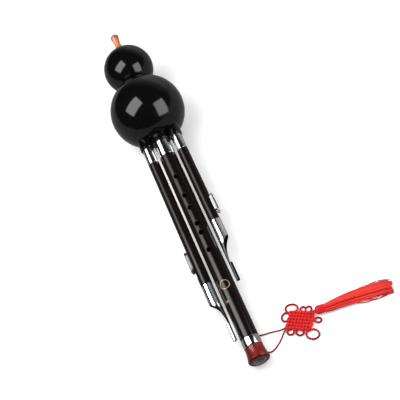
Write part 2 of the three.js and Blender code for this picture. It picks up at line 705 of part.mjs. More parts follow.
// An ear of the knot: a loop of cord that leaves the body and droops to the floor.
function knotEar({ at, half }) {
  const centre = ofKnotWidth(at);
  const size = ofKnotWidth(half);
  const inward = centre.clone().negate().normalize();
  const across = new THREE.Vector2(-inward.y, inward.x);
  const mouth = Math.PI / earSides;
  const middle = knotThickness / 2;
  const start = inward.angle() - knotEarTurn;
  const rim = Array.from({ length: bendSteps + 1 }, (_, i) => {
    const angle = mouth + ((Math.PI - mouth) * 2 * i) / bendSteps;
    const point = new THREE.Vector2(size.x * Math.cos(start + angle), size.y * Math.sin(start + angle))
      .rotateAround(new THREE.Vector2(), knotEarTurn)
      .add(centre);
    return [point.x, point.y, middle + ((knotCordRadius - middle) * (1 - Math.cos(angle))) / 2];
  });
  const root = (sign) => {
    const point = centre.clone().addScaledVector(inward, size.y + knotCordRadius * 3)
      .addScaledVector(across, sign * knotCordRadius);
    return [point.x, point.y, middle];
  };
  return tubeAlong([root(1), ...rim, root(-1)], knotCordRadius, earSides, earSteps);
}

// One of the two cords that leave the knot's corner and rise to the middle of the tassel's head.
function knotLead(side) {
  const heading = new THREE.Vector2(Math.cos(tasselTurn), Math.sin(tasselTurn));
  const across = new THREE.Vector2(-heading.y, heading.x);
  const face = new THREE.Vector2(tasselStart[0] - knotCentre[0], tasselStart[1] - knotCentre[1]);
  const place = (back, height) => {
    const point = face.clone().addScaledVector(heading, -back)
      .addScaledVector(across, side * (knotCordRadius + seatGap / 2));
    return [point.x, point.y, height];
  };
  const low = knotThickness / 2;
  const high = tasselHeadRadius - knotCordRadius;
  return tubeAlong([
    place(knotLeadLength, low), place(knotLeadLength / 2, low), place(knotCordRadius * 2, high),
    place(seatGap, high),
  ], knotCordRadius, earSides, leadSteps);
}

function addKnot(group) {
  const inset = knotCornerShares.map(ofKnotWidth)
    .map((corner) => corner.setLength(corner.length() - knotRounding));
  const slab = new THREE.ExtrudeGeometry(new THREE.Shape(inset), {
    depth: knotThickness - knotRounding * 2, bevelEnabled: true, bevelThickness: knotRounding,
    bevelSize: knotRounding, bevelSegments: bevelSteps,
  });
  slab.translate(0, 0, knotRounding);
  const entry = box(knotEntryDepth * 2, knotWidth, knotWidth, -knotWidth / 2, 0, 0);
  const loops = [...knotEarShares.map(knotEar), knotLead(-1), knotLead(1)];
  const solid = joinedWith(cutFrom(slab, [entry]), loops);
  const knot = addPiece(group, "knot", solid, "redCord");
  knot.position.set(...knotCentre, 0);
}

// A value of a table, taken at a share of its length.
function between(values, share) {
  const place = share * (values.length - 1);
  const i = Math.min(values.length - 2, Math.floor(place));
  return values[i] + (values[i + 1] - values[i]) * (place - i);
}

// The skirt: rings across its middle line, grooved like strands, closed at both ends.
function skirtGeometry(line) {
  const ringPoints = tasselLobes * pointsPerLobe;
  const rings = Array.from({ length: tasselRings + 1 }, (_, k) => k / tasselRings);
  const positions = rings.flatMap((share) => {
    const centre = line.getPoint(share);
    const along = line.getTangent(share);
    const halfWidth = (tasselWidth * between(tasselWidthShares, share)) / 2;
    const halfHeight = (tasselHeight * between(tasselHeightShares, share)) / 2;
    const groove = tasselGrooveShare * ease(Math.min(1, share / tasselGrooveStartShare));
    return Array.from({ length: ringPoints }, (_, i) => {
      const angle = (i / ringPoints) * Math.PI * 2;
      const strand = i % pointsPerLobe === 0 ? 1 - groove : 1;
      const side = halfWidth * Math.cos(angle) * strand;
      const height = halfHeight + halfHeight * Math.sin(angle) * strand;
      return [centre.x - along.y * side, centre.y + along.x * side, height];
    }).flat();
  });
  const faces = [];
  for (let k = 0; k < tasselRings; k += 1) {
    for (let i = 0; i < ringPoints; i += 1) {
      const a = k * ringPoints + i;
      const b = k * ringPoints + ((i + 1) % ringPoints);
      faces.push(a, b, a + ringPoints, b, b + ringPoints, a + ringPoints);
    }
  }
  const last = tasselRings * ringPoints;
  for (let i = 1; i < ringPoints - 1; i += 1) {
    faces.push(0, i + 1, i);
    faces.push(last, last + i, last + i + 1);
  }
  const skirt = new THREE.BufferGeometry();
  skirt.setAttribute("position", new THREE.Float32BufferAttribute(positions, 3));
  skirt.setIndex(faces);
  skirt.computeVertexNormals();
  return skirt;
}

function addTassel(group) {
  const tassel = new THREE.Group();
  tassel.position.set(...tasselStart, 0);
  group.add(tassel);

  const rounding = tasselHeadRadius / 2;
  const head = turned([
    [0, 0], ...arc(tasselHeadRadius - rounding, rounding, rounding, -Math.PI / 2, 0, roundingSteps),
    [tasselHeadRadius, tasselHeadLength], [0, tasselHeadLength],
  ], smallSides);
  head.rotateZ(-Math.PI / 2);
  head.translate(0, 0, tasselHeadRadius);
  head.rotateZ(tasselTurn);
  addPiece(tassel, "tassel_head", head, "redCord");

  const line = new THREE.CatmullRomCurve3(tasselRouteShares.map(([x, y]) =>
    new THREE.Vector3(x * tasselLength, y * tasselLength, 0)));
  const skirt = addPiece(tassel, "tassel_skirt", skirtGeometry(line), "redSilk");
  const reach = tasselHeadLength + seatGap;
  skirt.position.set(reach * Math.cos(tasselTurn), reach * Math.sin(tasselTurn), 0);
}

const hulusi = new THREE.Group();
const instrument = new THREE.Group();
const ornament = new THREE.Group();
hulusi.add(instrument, ornament);

addGourd(instrument);
addMouthpiece(instrument);
addBasePlug(instrument);
addMainPipe(instrument);
addReedEnd(instrument, "main", mainPipe);
addFoot(instrument);
addCordBight(instrument);

const shortSide = new THREE.Group();
shortSide.position.x = pipeSpacing;
addDrone(shortSide, "short_drone", shortDrone);
const longSide = new THREE.Group();
longSide.position.x = -pipeSpacing;
longSide.rotation.y = Math.PI;
addDrone(longSide, "long_drone", longDrone);
instrument.add(shortSide, longSide);

addPiece(ornament, "cord_upper_strand",
  tubeAlong(upperStrandRoute, cordRadius, cordSides, upperStrandSteps), "redCord");
addPiece(ornament, "cord_lower_strand",
  tubeAlong(lowerStrandRoute, cordRadius, cordSides, lowerStrandSteps), "redCord");
addKnot(ornament);
addTassel(ornament);

// The instrument leans down to its foot until bulb and foot bell both touch the floor.
const heightOf = (object) => new THREE.Box3().setFromObject(object, true).min.z;
for (let i = 0; i < leanSteps; i += 1) {
  const bell = instrument.getObjectByName("foot_bell");
  const belly = instrument.getObjectByName("lower_bulb");
  instrument.rotation.x += Math.asin((heightOf(bell) - heightOf(belly)) / footEnd);
  instrument.updateMatrixWorld(true);
}
instrument.position.z = -heightOf(instrument);
const extent = new THREE.Box3().setFromObject(instrument, true);
hulusi.position.y = -(extent.min.y + extent.max.y) / 2;

export default hulusi;
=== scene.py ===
import bpy
from math import acos, asin, atan2, ceil, cos, degrees, dist, hypot, pi, radians, sin, sqrt
from random import Random
from mathutils import Matrix, Vector


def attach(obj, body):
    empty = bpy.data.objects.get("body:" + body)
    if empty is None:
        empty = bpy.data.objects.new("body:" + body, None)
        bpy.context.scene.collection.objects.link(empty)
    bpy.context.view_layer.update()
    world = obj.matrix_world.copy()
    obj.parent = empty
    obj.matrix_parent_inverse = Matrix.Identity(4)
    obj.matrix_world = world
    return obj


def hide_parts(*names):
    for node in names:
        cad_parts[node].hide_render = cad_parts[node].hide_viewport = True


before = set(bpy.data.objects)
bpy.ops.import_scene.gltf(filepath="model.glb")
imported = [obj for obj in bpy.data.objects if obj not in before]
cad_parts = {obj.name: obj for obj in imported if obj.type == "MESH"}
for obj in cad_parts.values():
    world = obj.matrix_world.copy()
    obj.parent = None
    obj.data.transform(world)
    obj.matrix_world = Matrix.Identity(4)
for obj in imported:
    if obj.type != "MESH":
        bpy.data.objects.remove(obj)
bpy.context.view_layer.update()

# A hulusi lying on a pale floor. Sizes are in millimetres along the instrument's own axis:
# x across the three pipes, y up the pipes from the lower bulb's centre, z towards the finger holes.
# The cord, the knot and the tassel are drawn on the floor, where z is the height.
mm = 0.001
lean = radians(5.40904)                       # the pipes lean down from the bulb to the foot
bellyPlace = Vector((0, 0.1016325, 0.0417148))
seatGap = 0.3                                 # the clearance between two fitted pieces


def shift(x, y, z=0):
    return Matrix.Translation((x, y, z))


def spin(angle, axis):
    return Matrix.Rotation(angle, 4, axis)


def linked(thing):
    bpy.context.scene.collection.objects.link(thing)
    return thing


onPipe = shift(*bellyPlace) @ spin(lean, "X") @ Matrix.Scale(mm, 4)
onFloor = shift(0, bellyPlace.y) @ Matrix.Scale(mm, 4)


# Camera and lights
def addCamera():
    view = {"place": (0.0828, -0.6451, 0.8112), "lens": 85.18,
            "right": (0.8866, -0.3225, -0.3316), "up": (0.4571, 0.7211, 0.5207),
            "back": (0.0712, -0.6132, 0.7867)}
    camera = linked(bpy.data.objects.new("camera", bpy.data.cameras.new("camera")))
    turn = Matrix((view["right"], view["up"], view["back"])).transposed()
    camera.matrix_world = shift(*view["place"]) @ turn.to_quaternion().to_matrix().to_4x4()
    camera.data.lens, camera.data.sensor_width = view["lens"], 36
    camera.data.clip_start = 0.05
    bpy.context.scene.camera = camera
    bpy.context.scene.view_settings.view_transform = "Standard"    # so that the pale floor stays pale


def addPanel(name, aim, away, towards, width, height, glow, glossy=True, only=None):
    # a soft box: it hangs away metres from its aim, and its width runs along the given direction
    lamp = bpy.data.lights.new(name, "AREA")
    lamp.shape = "RECTANGLE"
    lamp.size, lamp.size_y = width, height
    lamp.energy = glow * width * height * pi  # watts that make its face as bright as glow
    back, across = Vector(away).normalized(), Vector(towards)
    across = (across - back * across.dot(back)).normalized()
    panel = linked(bpy.data.objects.new(name, lamp))
    turn = Matrix((across, back.cross(across), back)).transposed().to_4x4()
    panel.matrix_world = Matrix.Translation(Vector(aim) + Vector(away)) @ turn
    panel.visible_glossy, panel.visible_camera = glossy, False
    panel.light_linking.receiver_collection = only


# the pieces that the strip lights shine on
striplit = bpy.data.collections.new("turned pieces")
tubelit = bpy.data.collections.new("end tubes")
slidelit = bpy.data.collections.new("slides and tracks")


def addStrip(name, turn, height, reach, width, length, glow, only=striplit):
    # a strip light along the pipes, turned round their axis from straight above them
    away = Vector((sin(radians(turn)), 0, cos(radians(turn)))) * reach
    tilt = spin(lean, "X")
    addPanel(name, onPipe @ Vector((0, height, 0)), tilt @ away, tilt @ away.cross(Vector((0, 1, 0))),
             width, length, glow, only=only)


def addLights():
    addPanel("left soft box", bellyPlace, Vector((-0.41, -0.13, 0.86)).normalized() * 0.6,
             (0.29, -0.956, 0.01), 0.34, 0.53, 4.8)
    addPanel("right soft box", bellyPlace, Vector((0.727, -0.548, 0.414)).normalized() * 0.5,
             (0.0, -0.66, -0.75), 0.37, 0.31, 3.8)
    addPanel("overhead fill", (0.05, 0, 0), (0, 0, 2.2), (1, 0, 0), 4.0, 4.0, 1.1, glossy=False)
    addStrip("long strip", -32, 210, 0.5, 0.33, 0.86, 4.0)
    addStrip("foot strip", -32, 30, 0.5, 0.33, 0.40, 5.0)
    addStrip("tube strip", 65, 210, 0.4, 0.7, 0.86, 0.22, tubelit)
    addStrip("slide strip", -5, 210, 0.5, 0.14, 0.86, 1.0, slidelit)


print("camera and lights")
addCamera()
addLights()


# Shader maths: a wire is a socket that takes part in sums
class Wire:
    def __init__(self, finish, socket):
        self.finish, self.socket = finish, socket

    def sum(self, operation, first, second):
        return self.finish.node("ShaderNodeMath", {"operation": operation}, {0: first, 1: second})

    def __add__(self, other): return self.sum("ADD", self, other)
    def __radd__(self, other): return self.sum("ADD", other, self)
    def __sub__(self, other): return self.sum("SUBTRACT", self, other)
    def __rsub__(self, other): return self.sum("SUBTRACT", other, self)
    def __mul__(self, other): return self.sum("MULTIPLY", self, other)
    def __rmul__(self, other): return self.sum("MULTIPLY", other, self)

    def within(self, low, high):              # 0 at low, 1 at high, and never outside
        return self.finish.node("ShaderNodeMapRange", {"clamp": True},
                                {"Value": self, "From Min": low, "From Max": high})

    def wave(self, length):                   # a sine of that wavelength, from 0 to 1
        return self.sum("SINE", self * (2 * pi / length), 0) * 0.5 + 0.5

    def part(self, name):                     # one axis of a place
        return self.finish.node("ShaderNodeSeparateXYZ", {}, {"Vector": self}, out=name)


class Nodes:
    def __init__(self, holder):
        holder.use_nodes = True
        self.tree = holder.node_tree

    def plug(self, value, socket):
        if isinstance(value, Wire):
            self.tree.links.new(value.socket, socket)
        elif isinstance(value, tuple) and len(socket.default_value) == 4:
            socket.default_value = (*value, 1)
        else:
            socket.default_value = value

    def node(self, kind, settings, sockets, out=0):
        made = self.tree.nodes.new(kind)
        for setting, value in settings.items():
            if setting == "stops":
                ends = made.color_ramp.elements
                for end, (place, colour) in zip(ends, (value[0], value[-1])):
                    end.position, end.color = place, (*colour, 1)
                for place, colour in value[1:-1]:
                    ends.new(place).color = (*colour, 1)
            else:
                setattr(made, setting, value)
        for socket, value in sockets.items():
            self.plug(value, made.inputs[socket])
        return Wire(self, made.outputs[out])

    def mixed(self, share, first, second):
        return self.node("ShaderNodeMix", {"data_type": "RGBA"}, {0: share, 6: first, 7: second}, out=2)

    def ramp(self, value, stops):
        return self.node("ShaderNodeValToRGB", {"stops": stops}, {0: value})


class Finish(Nodes):
    def __init__(self, name, steady, leaning=True):       # steady values sit on the shader's own sockets
        self.material = bpy.data.materials.new(name)
        super().__init__(self.material)
        self.tree.nodes.clear()
        self.shader = self.tree.nodes.new("ShaderNodeBsdfPrincipled")
        end = self.tree.nodes.new("ShaderNodeOutputMaterial")
        self.tree.links.new(self.shader.outputs["BSDF"], end.inputs["Surface"])
        for socket, value in steady.items():
            self.plug(value, self.shader.inputs[socket])
        # the place is in millimetres on the leaning instrument, or else on the floor
        spot = self.node("ShaderNodeTexCoord", {}, {}, out="Object")
        sockets = {"Vector": spot, "Location": tuple(bellyPlace) if leaning else (0, bellyPlace.y, 0),
                   "Rotation": (lean if leaning else 0, 0, 0), "Scale": (mm, mm, mm)}
        self.place = self.node("ShaderNodeMapping", {"vector_type": "TEXTURE"}, sockets)

    def noise(self, size, detail=3, roughness=0.55, stretch=None):     # size is a patch, in millimetres
        place = self.place
        if stretch:
            place = self.node("ShaderNodeVectorMath", {"operation": "MULTIPLY"}, {0: place, 1: stretch})
        return self.node("ShaderNodeTexNoise", {},
                         {"Vector": place, "Scale": 1 / size, "Detail": detail, "Roughness": roughness})

    def colour(self, value): self.plug(value, self.shader.inputs["Base Color"])
    def rough(self, value): self.plug(value, self.shader.inputs["Roughness"])

    def relief(self, height, depth, strength=1.0):        # depth is in millimetres
        bump = self.node("ShaderNodeBump", {},
                         {"Strength": strength, "Distance": depth * mm, "Height": height})
        self.plug(bump, self.shader.inputs["Normal"])


def addStudio():
    # a dark room with a pale backdrop low behind the gourd, which the polished pieces mirror
    studio = {"ground": 0.30, "room": 0.016, "backdrop": 0.46, "towards": (0.55, 0.82, -0.10)}
    world = bpy.data.worlds.new("studio")
    bpy.context.scene.world = world
    nodes = Nodes(world)
    way = nodes.node("ShaderNodeTexCoord", {}, {}, out="Generated")
    facing = nodes.node("ShaderNodeVectorMath", {"operation": "DOT_PRODUCT"},
                        {0: way, 1: studio["towards"]}, out="Value")
    room, backdrop, ground = ((studio[part],) * 3 for part in ("room", "backdrop", "ground"))
    half = tuple(0.4 * light for light in backdrop)
    sky = nodes.ramp(facing, [(0.62, room), (0.85, half), (0.94, backdrop)])
    below = way.part("Z").within(0.03, -0.03)
    nodes.plug(nodes.mixed(below, sky, ground), nodes.tree.nodes["Background"].inputs["Color"])


def blackLacquer():
    lacquer = {"base": (0.0030, 0.0028, 0.0030), "polish": 0.09, "smudge": 0.07, "peel": 0.006}
    finish = Finish("black lacquer", {"Base Color": lacquer["base"], "IOR": 1.5})
    finish.rough(lacquer["polish"] + finish.noise(26, 4).within(0.45, 0.8) * lacquer["smudge"])
    finish.relief(finish.noise(2.2, 2), lacquer["peel"], 0.35)
    return finish.material


def blackwood():
    wood = {"dark": (0.0018, 0.0013, 0.0012), "light": (0.0062, 0.0034, 0.0027), "polish": 0.13,
            "grain": 0.012, "turning": 0.015}
    finish = Finish("polished blackwood", {"IOR": 1.35})
    fibre = finish.noise(1.1, 5, 0.65, (1, 0.035, 1))
    band = finish.noise(6, 2, stretch=(1, 0.012, 1))
    rings = finish.noise(0.4, 2, stretch=(0.05, 1, 0.05))
    finish.colour(finish.mixed((fibre * 0.6 + band * 0.4).within(0.38, 0.68), wood["dark"], wood["light"]))
    finish.rough(wood["polish"] + fibre * 0.12)
    finish.relief(rings + fibre * (wood["grain"] / wood["turning"]), wood["turning"])
    return finish.material


def brightPlate(name, shaded=None, shade=0.035):
    # where two heights are given, the plate takes the darker tone between them: painted shade and painted
    # reflection
    plate = {"base": (0.86, 0.86, 0.87), "dull": (0.72, 0.725, 0.74), "polish": 0.07, "lines": 0.02}
    finish = Finish(name, {"Metallic": 1.0})
    brushed = finish.noise(0.45, stretch=(0.08, 1, 0.08))
    tarnish = finish.noise(9, 4)
    colour = finish.mixed(tarnish.within(0.45, 0.75), plate["base"], plate["dull"])
    # painted dark: on the end tubes it stands for the dark room mirrored in the scoop, on the long drone's
    # slide for shade; the neck is wholly its own dark metal
    if shaded:
        height, (top, bottom) = finish.place.part("Y"), shaded
        share = height.within(top - 4, top - 8) * height.within(bottom - 1, bottom + 1)
        colour = finish.mixed(share, colour, (shade,) * 3)
    finish.colour(colour)
    finish.rough(plate["polish"] + brushed * 0.06 + tarnish.within(0.5, 0.8) * 0.08)
    finish.relief(brushed, plate["lines"])
    return finish.material


def amberResin():
    # dark red-brown at the seat, orange in the waist, browner again at the lip
    amber = {"seat": 97.0, "tip": 124.9, "polish": 0.16,
             "stops": [(0.0, (0.10, 0.016, 0.008)), (0.14, (0.20, 0.040, 0.018)),
                       (0.36, (0.40, 0.125, 0.056)), (0.72, (0.44, 0.145, 0.070)),
                       (0.86, (0.26, 0.080, 0.040)), (1.0, (0.06, 0.022, 0.014))]}
    finish = Finish("amber resin", {"IOR": 1.52, "Coat Weight": 0.5, "Coat Roughness": 0.05})
    along = finish.place.part("Y").within(amber["seat"], amber["tip"])
    cloud = finish.noise(5, stretch=(1, 0.3, 1))
    finish.colour(finish.ramp(along + (cloud - 0.5) * 0.14, amber["stops"]))
    finish.rough(amber["polish"] + cloud * 0.1)
    return finish.material


def redResin():
    red = {"deep": (0.11, 0.0050, 0.004), "bright": (0.22, 0.010, 0.006), "polish": 0.2, "rim": -328.5,
           "paintedRimShade": (0.035, 0.004, 0.004), "bore": 6.2, "paintedBoreLight": (0.42, 0.30, 0.29)}
    finish = Finish("dark red resin", {"IOR": 1.45, "Coat Weight": 0.25, "Coat Roughness": 0.12})
    streak = finish.noise(3.5, 4, stretch=(1, 0.2, 1))
    x, y, z = (finish.place.part(axis) for axis in "XYZ")
    wall = finish.mixed(streak.within(0.35, 0.7), red["deep"], red["bright"])
    # painted shade: the bell's end is darker round its rim
    paintedRimShade = finish.mixed(y.within(red["rim"] + 2.2, red["rim"] + 0.8), wall, red["paintedRimShade"])
    # painted light: the inside of the bore is pale pinkish grey, as if lit
    boreLightShare = (x * x + z * z).within(red["bore"] ** 2 + 5, red["bore"] ** 2 + 2)
    finish.colour(finish.mixed(boreLightShare, paintedRimShade, red["paintedBoreLight"]))
    finish.rough(red["polish"] + streak * 0.08)
    return finish.material


def paleGold():
    gold = {"high": (0.62, 0.47, 0.33), "low": (0.40, 0.29, 0.19), "polish": 0.3}
    finish = Finish("pale gold", {"Metallic": 0.85})
    grain = finish.noise(0.5)
    finish.colour(finish.mixed(grain.within(0.35, 0.7), gold["low"], gold["high"]))
    finish.rough(gold["polish"] + grain * 0.2)
    return finish.material


def reedBrass():
    brass = {"clean": (0.62, 0.40, 0.13), "aged": (0.36, 0.21, 0.07), "polish": 0.28}
    finish = Finish("reed brass", {"Metallic": 1.0})
    drawn = finish.noise(0.5, stretch=(1, 0.06, 1))
    finish.colour(finish.mixed(finish.noise(4, 4).within(0.42, 0.7), brass["clean"], brass["aged"]))
    finish.rough(brass["polish"] + drawn * 0.15)
    finish.relief(drawn, 0.02, 0.3)
    return finish.material


def corkBark():
    cork = {"pale": (0.50, 0.31, 0.17), "tan": (0.33, 0.18, 0.09), "pit": (0.11, 0.055, 0.03)}
    finish = Finish("cork", {"Roughness": 0.85})
    grains = finish.node("ShaderNodeTexVoronoi", {"feature": "DISTANCE_TO_EDGE"},
                         {"Vector": finish.place, "Scale": 1.1})
    mottle = finish.noise(1.6, 4)
    bark = finish.mixed(mottle.within(0.35, 0.68), cork["pale"], cork["tan"])
    finish.colour(finish.mixed(finish.noise(0.7, 2).within(0.62, 0.72), bark, cork["pit"]))
    finish.relief(grains.within(0, 0.12) + mottle, 0.12, 0.6)
    return finish.material


def braid(name, bright, deep, plait=1.5, leaning=False):
    # u runs round the cord and v along it, both in millimetres; cord that lies low is painted darker, as
    # painted shade
    finish = Finish(name, {"Specular IOR Level": 0.12}, leaning)
    spot = finish.node("ShaderNodeTexCoord", {}, {}, out="UV")
    u, v = spot.part("X"), spot.part("Y")
    strands = (u + v).wave(plait) * (u - v).wave(plait)
    fibre = finish.noise(0.35)
    # painted shade: lift darkens the cord the lower it lies
    lift = finish.place.part("Z").within(1.9, 3.4) * 0.88 + 0.12
    finish.colour(finish.mixed((strands * 0.8 + fibre * 0.4).within(0.0, 0.56) * lift, deep, bright))
    finish.rough(0.48 + fibre * 0.15)
    finish.relief(strands + fibre * 0.3, 0.16, 0.7)
    return finish.material


def looseSilk():
    silk = {"light": (0.90, 0.036, 0.022), "deep": (0.26, 0.003, 0.010), "polish": 0.42}
    steady = {"Sheen Weight": 0.08, "Sheen Roughness": 0.3, "Sheen Tint": (1, 0.45, 0.4)}
    finish = Finish("red silk", steady, leaning=False)
    strand = finish.node("ShaderNodeNewGeometry", {}, {}, out="Random Per Island")
    sheen = finish.noise(3.2)
    lift = finish.place.part("Z").within(1.1, 3.6) * 0.7 + 0.3     # painted shade: strands that lie low are darker
    streak = (strand.within(0, 0.6) * 0.75 + sheen * 0.5).within(0.2, 1.0)
    finish.colour(finish.mixed(streak * lift, silk["deep"], silk["light"]))
    finish.rough(silk["polish"] + sheen * 0.15)
    return finish.material


def palePaper():
    steady = {"Roughness": 0.9, "Specular IOR Level": 0.1, "Emission Strength": 0.22,
              "Emission Color": (1, 1, 1)}
    finish = Finish("pale floor", steady, leaning=False)
    finish.colour(finish.mixed(finish.noise(400, 2), (0.90, 0.90, 0.90), (0.93, 0.93, 0.93)))
    return finish.material


print("studio and finishes")
addStudio()
lacquerFinish = blackLacquer()
woodFinish = blackwood()
plateFinish = brightPlate("polished plate")
amberFinish = amberResin()
redFinish = redResin()
goldFinish = paleGold()
brassFinish = reedBrass()
corkFinish = corkBark()
cordFinish = braid("red braided cord", (1.0, 0.036, 0.034), (0.19, 0.001, 0.008))
pipeCordFinish = braid("red cord in the pipe", (0.70, 0.012, 0.012), (0.36, 0.003, 0.004), leaning=True)
silkFinish = looseSilk()


def addFloor():
    half, depth = 6, 0.00002                  # in metres, and laid in squares of one metre
    row = 2 * half + 1
    points = [(x - half, y - half, -depth) for y in range(row) for x in range(row)]
    faces = [(k, k + 1, k + 1 + row, k + row) for k in range(row * (row - 1)) if (k + 1) % row]
    mesh = bpy.data.meshes.new("floor")
    mesh.from_pydata(points, [], faces)
    mesh.materials.append(palePaper())
    floor = linked(bpy.data.objects.new("floor", mesh))
    floor.visible_glossy = False


addFloor()


# Forms: corners and faces in millimetres, before they are laid in the frame
class Form:
    def __init__(self, points=(), faces=()):
        self.points, self.faces, self.uvs = list(points), list(faces), []

    def row(self, points):
        self.points += points
        return list(range(len(self.points) - len(points), len(self.points)))

    def skin(self, rows, capped=False):       # faces between each row and the next
        for a, b in zip(rows, rows[1:]):
            for i, j in enumerate([*range(1, len(a)), 0]):
                face = list(dict.fromkeys([a[i], a[j], b[j], b[i]]))
                if len(face) > 2:
                    self.faces.append(face)
        if capped:
            self.faces += [rows[0][::-1], rows[-1]]
        return self

    def add(self, other):
        start = len(self.points)
        self.points += other.points
        self.faces += [[start + i for i in face] for face in other.faces]
        self.uvs += other.uvs or [[(0, 0)] * len(face) for face in other.faces]
        return self

    def moved(self, matrix):
        self.points = [matrix @ Vector(p) for p in self.points]
        return self

    def mesh(self, name):
        mesh = bpy.data.meshes.new(name)
        mesh.from_pydata([tuple(p) for p in self.points], [], self.faces)
        if self.uvs:
            layer = mesh.uv_layers.new(name="along")
            layer.data.foreach_set("uv", [n for face in self.uvs for uv in face for n in uv])
        mesh.validate()
        return mesh


def facedOut(mesh):
    volume = 0
    for face in mesh.polygons:
        first, *rest = [mesh.vertices[i].co for i in face.vertices]
        volume += sum(first.dot(b.cross(c)) for b, c in zip(rest, rest[1:]))
    if volume < 0:
        mesh.flip_normals()
    return mesh


def circle(sides):                            # sines and cosines of a whole turn
    return [(sin(2 * pi * k / sides), cos(2 * pi * k / sides)) for k in range(sides)]


def arc(centre, height, radius, fromTurn, toTurn, steps, tall=None):
    turns = [radians(fromTurn + (toTurn - fromTurn) * i / steps) for i in range(steps + 1)]
    return [(centre + radius * cos(t), height + (tall or radius) * sin(t)) for t in turns]


def slope(start, end, steps):                 # an S curve from one radius and height towards another
    shares = [k / steps for k in range(steps)]
    return [(start[0] + (end[0] - start[0]) * t * t * (3 - 2 * t), start[1] + (end[1] - start[1]) * t)
            for t in shares]


def softened(outline, steps=4):
    # a corner with a third number is rounded by that much
    made = []
    for i, corner in enumerate(outline):
        here = Vector(corner[:2])
        if len(corner) < 3:
            made.append(tuple(here))
            continue
        arms = [Vector(outline[n % len(outline)][:2]) - here for n in (i - 1, i + 1)]
        start, end = (here + arm.normalized() * min(corner[2], arm.length / 2) for arm in arms)
        for k in range(steps + 1):
            t = k / steps
            made.append(tuple(start * (1 - t) ** 2 + here * 2 * t * (1 - t) + end * t ** 2))
    return made


def stepped(outline, most=5):
    # long straight walls get more rows, so that cuts in them shade evenly
    made = []
    for (r0, h0), (r1, h1) in zip(outline, outline[1:] + outline[:1]):
        cells = max(1, ceil(hypot(r1 - r0, h1 - h0) / most))
        made += [(r0 + (r1 - r0) * k / cells, h0 + (h1 - h0) * k / cells) for k in range(cells)]
    return made


def turned(outline, sides=128):
    # an outline of radius and height, turned round the pipes' axis; a point given twice counts once
    outline = [p for p, q in zip(outline, outline[-1:] + outline[:-1]) if dist(p[:2], q[:2]) > 1e-5]
    form, rows = Form(), []
    for radius, height in outline:
        if radius < 1e-6:
            rows.append(form.row([(0, height, 0)]) * sides)
        else:
            rows.append(form.row([(radius * s, height, radius * c) for s, c in circle(sides)]))
    hollow = outline[0][0] > 1e-6 or outline[-1][0] > 1e-6
    return form.skin(rows + rows[:1] if hollow else rows)


def rod(radius, bottom, top, sides=96):
    return turned([(0, bottom), (radius, bottom), (radius, top), (0, top)], sides)


def tube(path, radius, sides=12, closed=False, ends=2, swell=None):
    # a round cord along a path; swell gives the radius at a share of its length
    path = [Vector(p) for p in path]
    after = path[1:] + [path[0] if closed else path[-1]]
    before = [path[-1] if closed else path[0]] + path[:-1]
    heading = [(b - a).normalized() for a, b in zip(before, after)]
    side = heading[0].orthogonal().normalized()
    form, rings, gone = Form(), [], [0.0]
    for i, point in enumerate(path):
        if i:
            side = heading[i - 1].rotation_difference(heading[i]) @ side
            gone.append(gone[-1] + (point - path[i - 1]).length)
        side = (side - heading[i] * side.dot(heading[i])).normalized()
        up = heading[i].cross(side)
        size = radius * (swell(i / (len(path) - 1)) if swell else 1)
        rings.append(form.row([point + (side * c + up * s) * size for s, c in circle(sides)]))
    if closed:
        rings.append(rings[0])
        gone.append(gone[-1] + (path[0] - path[-1]).length)
    form.skin(rings)
    edges = [2 * pi * radius * k / sides for k in range(sides + 1)]
    form.uvs = [[(u, near), (w, near), (w, far), (u, far)]
                for near, far in zip(gone, gone[1:]) for u, w in zip(edges, edges[1:])]
    for at, way in () if closed else ((0, -1), (-1, 1)):           # rounded ends
        centre, last = path[at], rings[at]
        for k in range(1, ends + 1):
            angle = pi / 2 * k / ends
            rise = heading[at] * way * radius * 0.6 * sin(angle)
            if k == ends:
                new = form.row([centre + rise]) * sides
            else:
                new = form.row([centre + (form.points[n] - centre) * cos(angle) + rise for n in rings[at]])
            form.skin([last, new])
            form.uvs += [[(0, gone[at])] * (3 if k == ends else 4)] * sides
            last = new
    return form


def threaded(points, cells):
    # an even curve through the points, the same as the one that the solid cord follows
    points = [Vector(p) for p in points]
    row = [points[0] * 2 - points[1], *points, points[-1] * 2 - points[-2]]
    made = []
    for a, b, c, d in zip(row, row[1:], row[2:], row[3:]):
        t1 = max((b - a).length, 1e-9) ** 0.5
        t2 = t1 + max((c - b).length, 1e-9) ** 0.5
        t3 = t2 + max((d - c).length, 1e-9) ** 0.5
        for k in range(cells):
            t = t1 + (t2 - t1) * k / cells
            middle = b.lerp(c, (t - t1) / (t2 - t1))
            before = a.lerp(b, t / t1).lerp(middle, t / t2)
            after = middle.lerp(c.lerp(d, (t - t2) / (t3 - t2)), (t - t1) / (t3 - t1))
            made.append(before.lerp(after, (t - t1) / (t2 - t1)))
    return made + [points[-1]]


def prism(outline, depth, axis="Y"):
    # a flat outline given in x and z, pushed along y, or given in x and y, pushed along z
    form = Form()
    rows = [form.row([(a, c, b) if axis == "Y" else (a, b, c) for a, b in outline])
            for c in (-depth / 2, depth / 2)]
    return form.skin(rows, capped=True)


def block(width, height, depth, x, y, z):
    corners = [(x + width * a, y + height * b, z + depth * c)
               for a in (-0.5, 0.5) for b in (-0.5, 0.5) for c in (-0.5, 0.5)]
    return Form(corners, [[0, 1, 3, 2], [4, 6, 7, 5], [0, 4, 5, 1], [2, 3, 7, 6], [0, 2, 6, 4], [1, 5, 7, 3]])


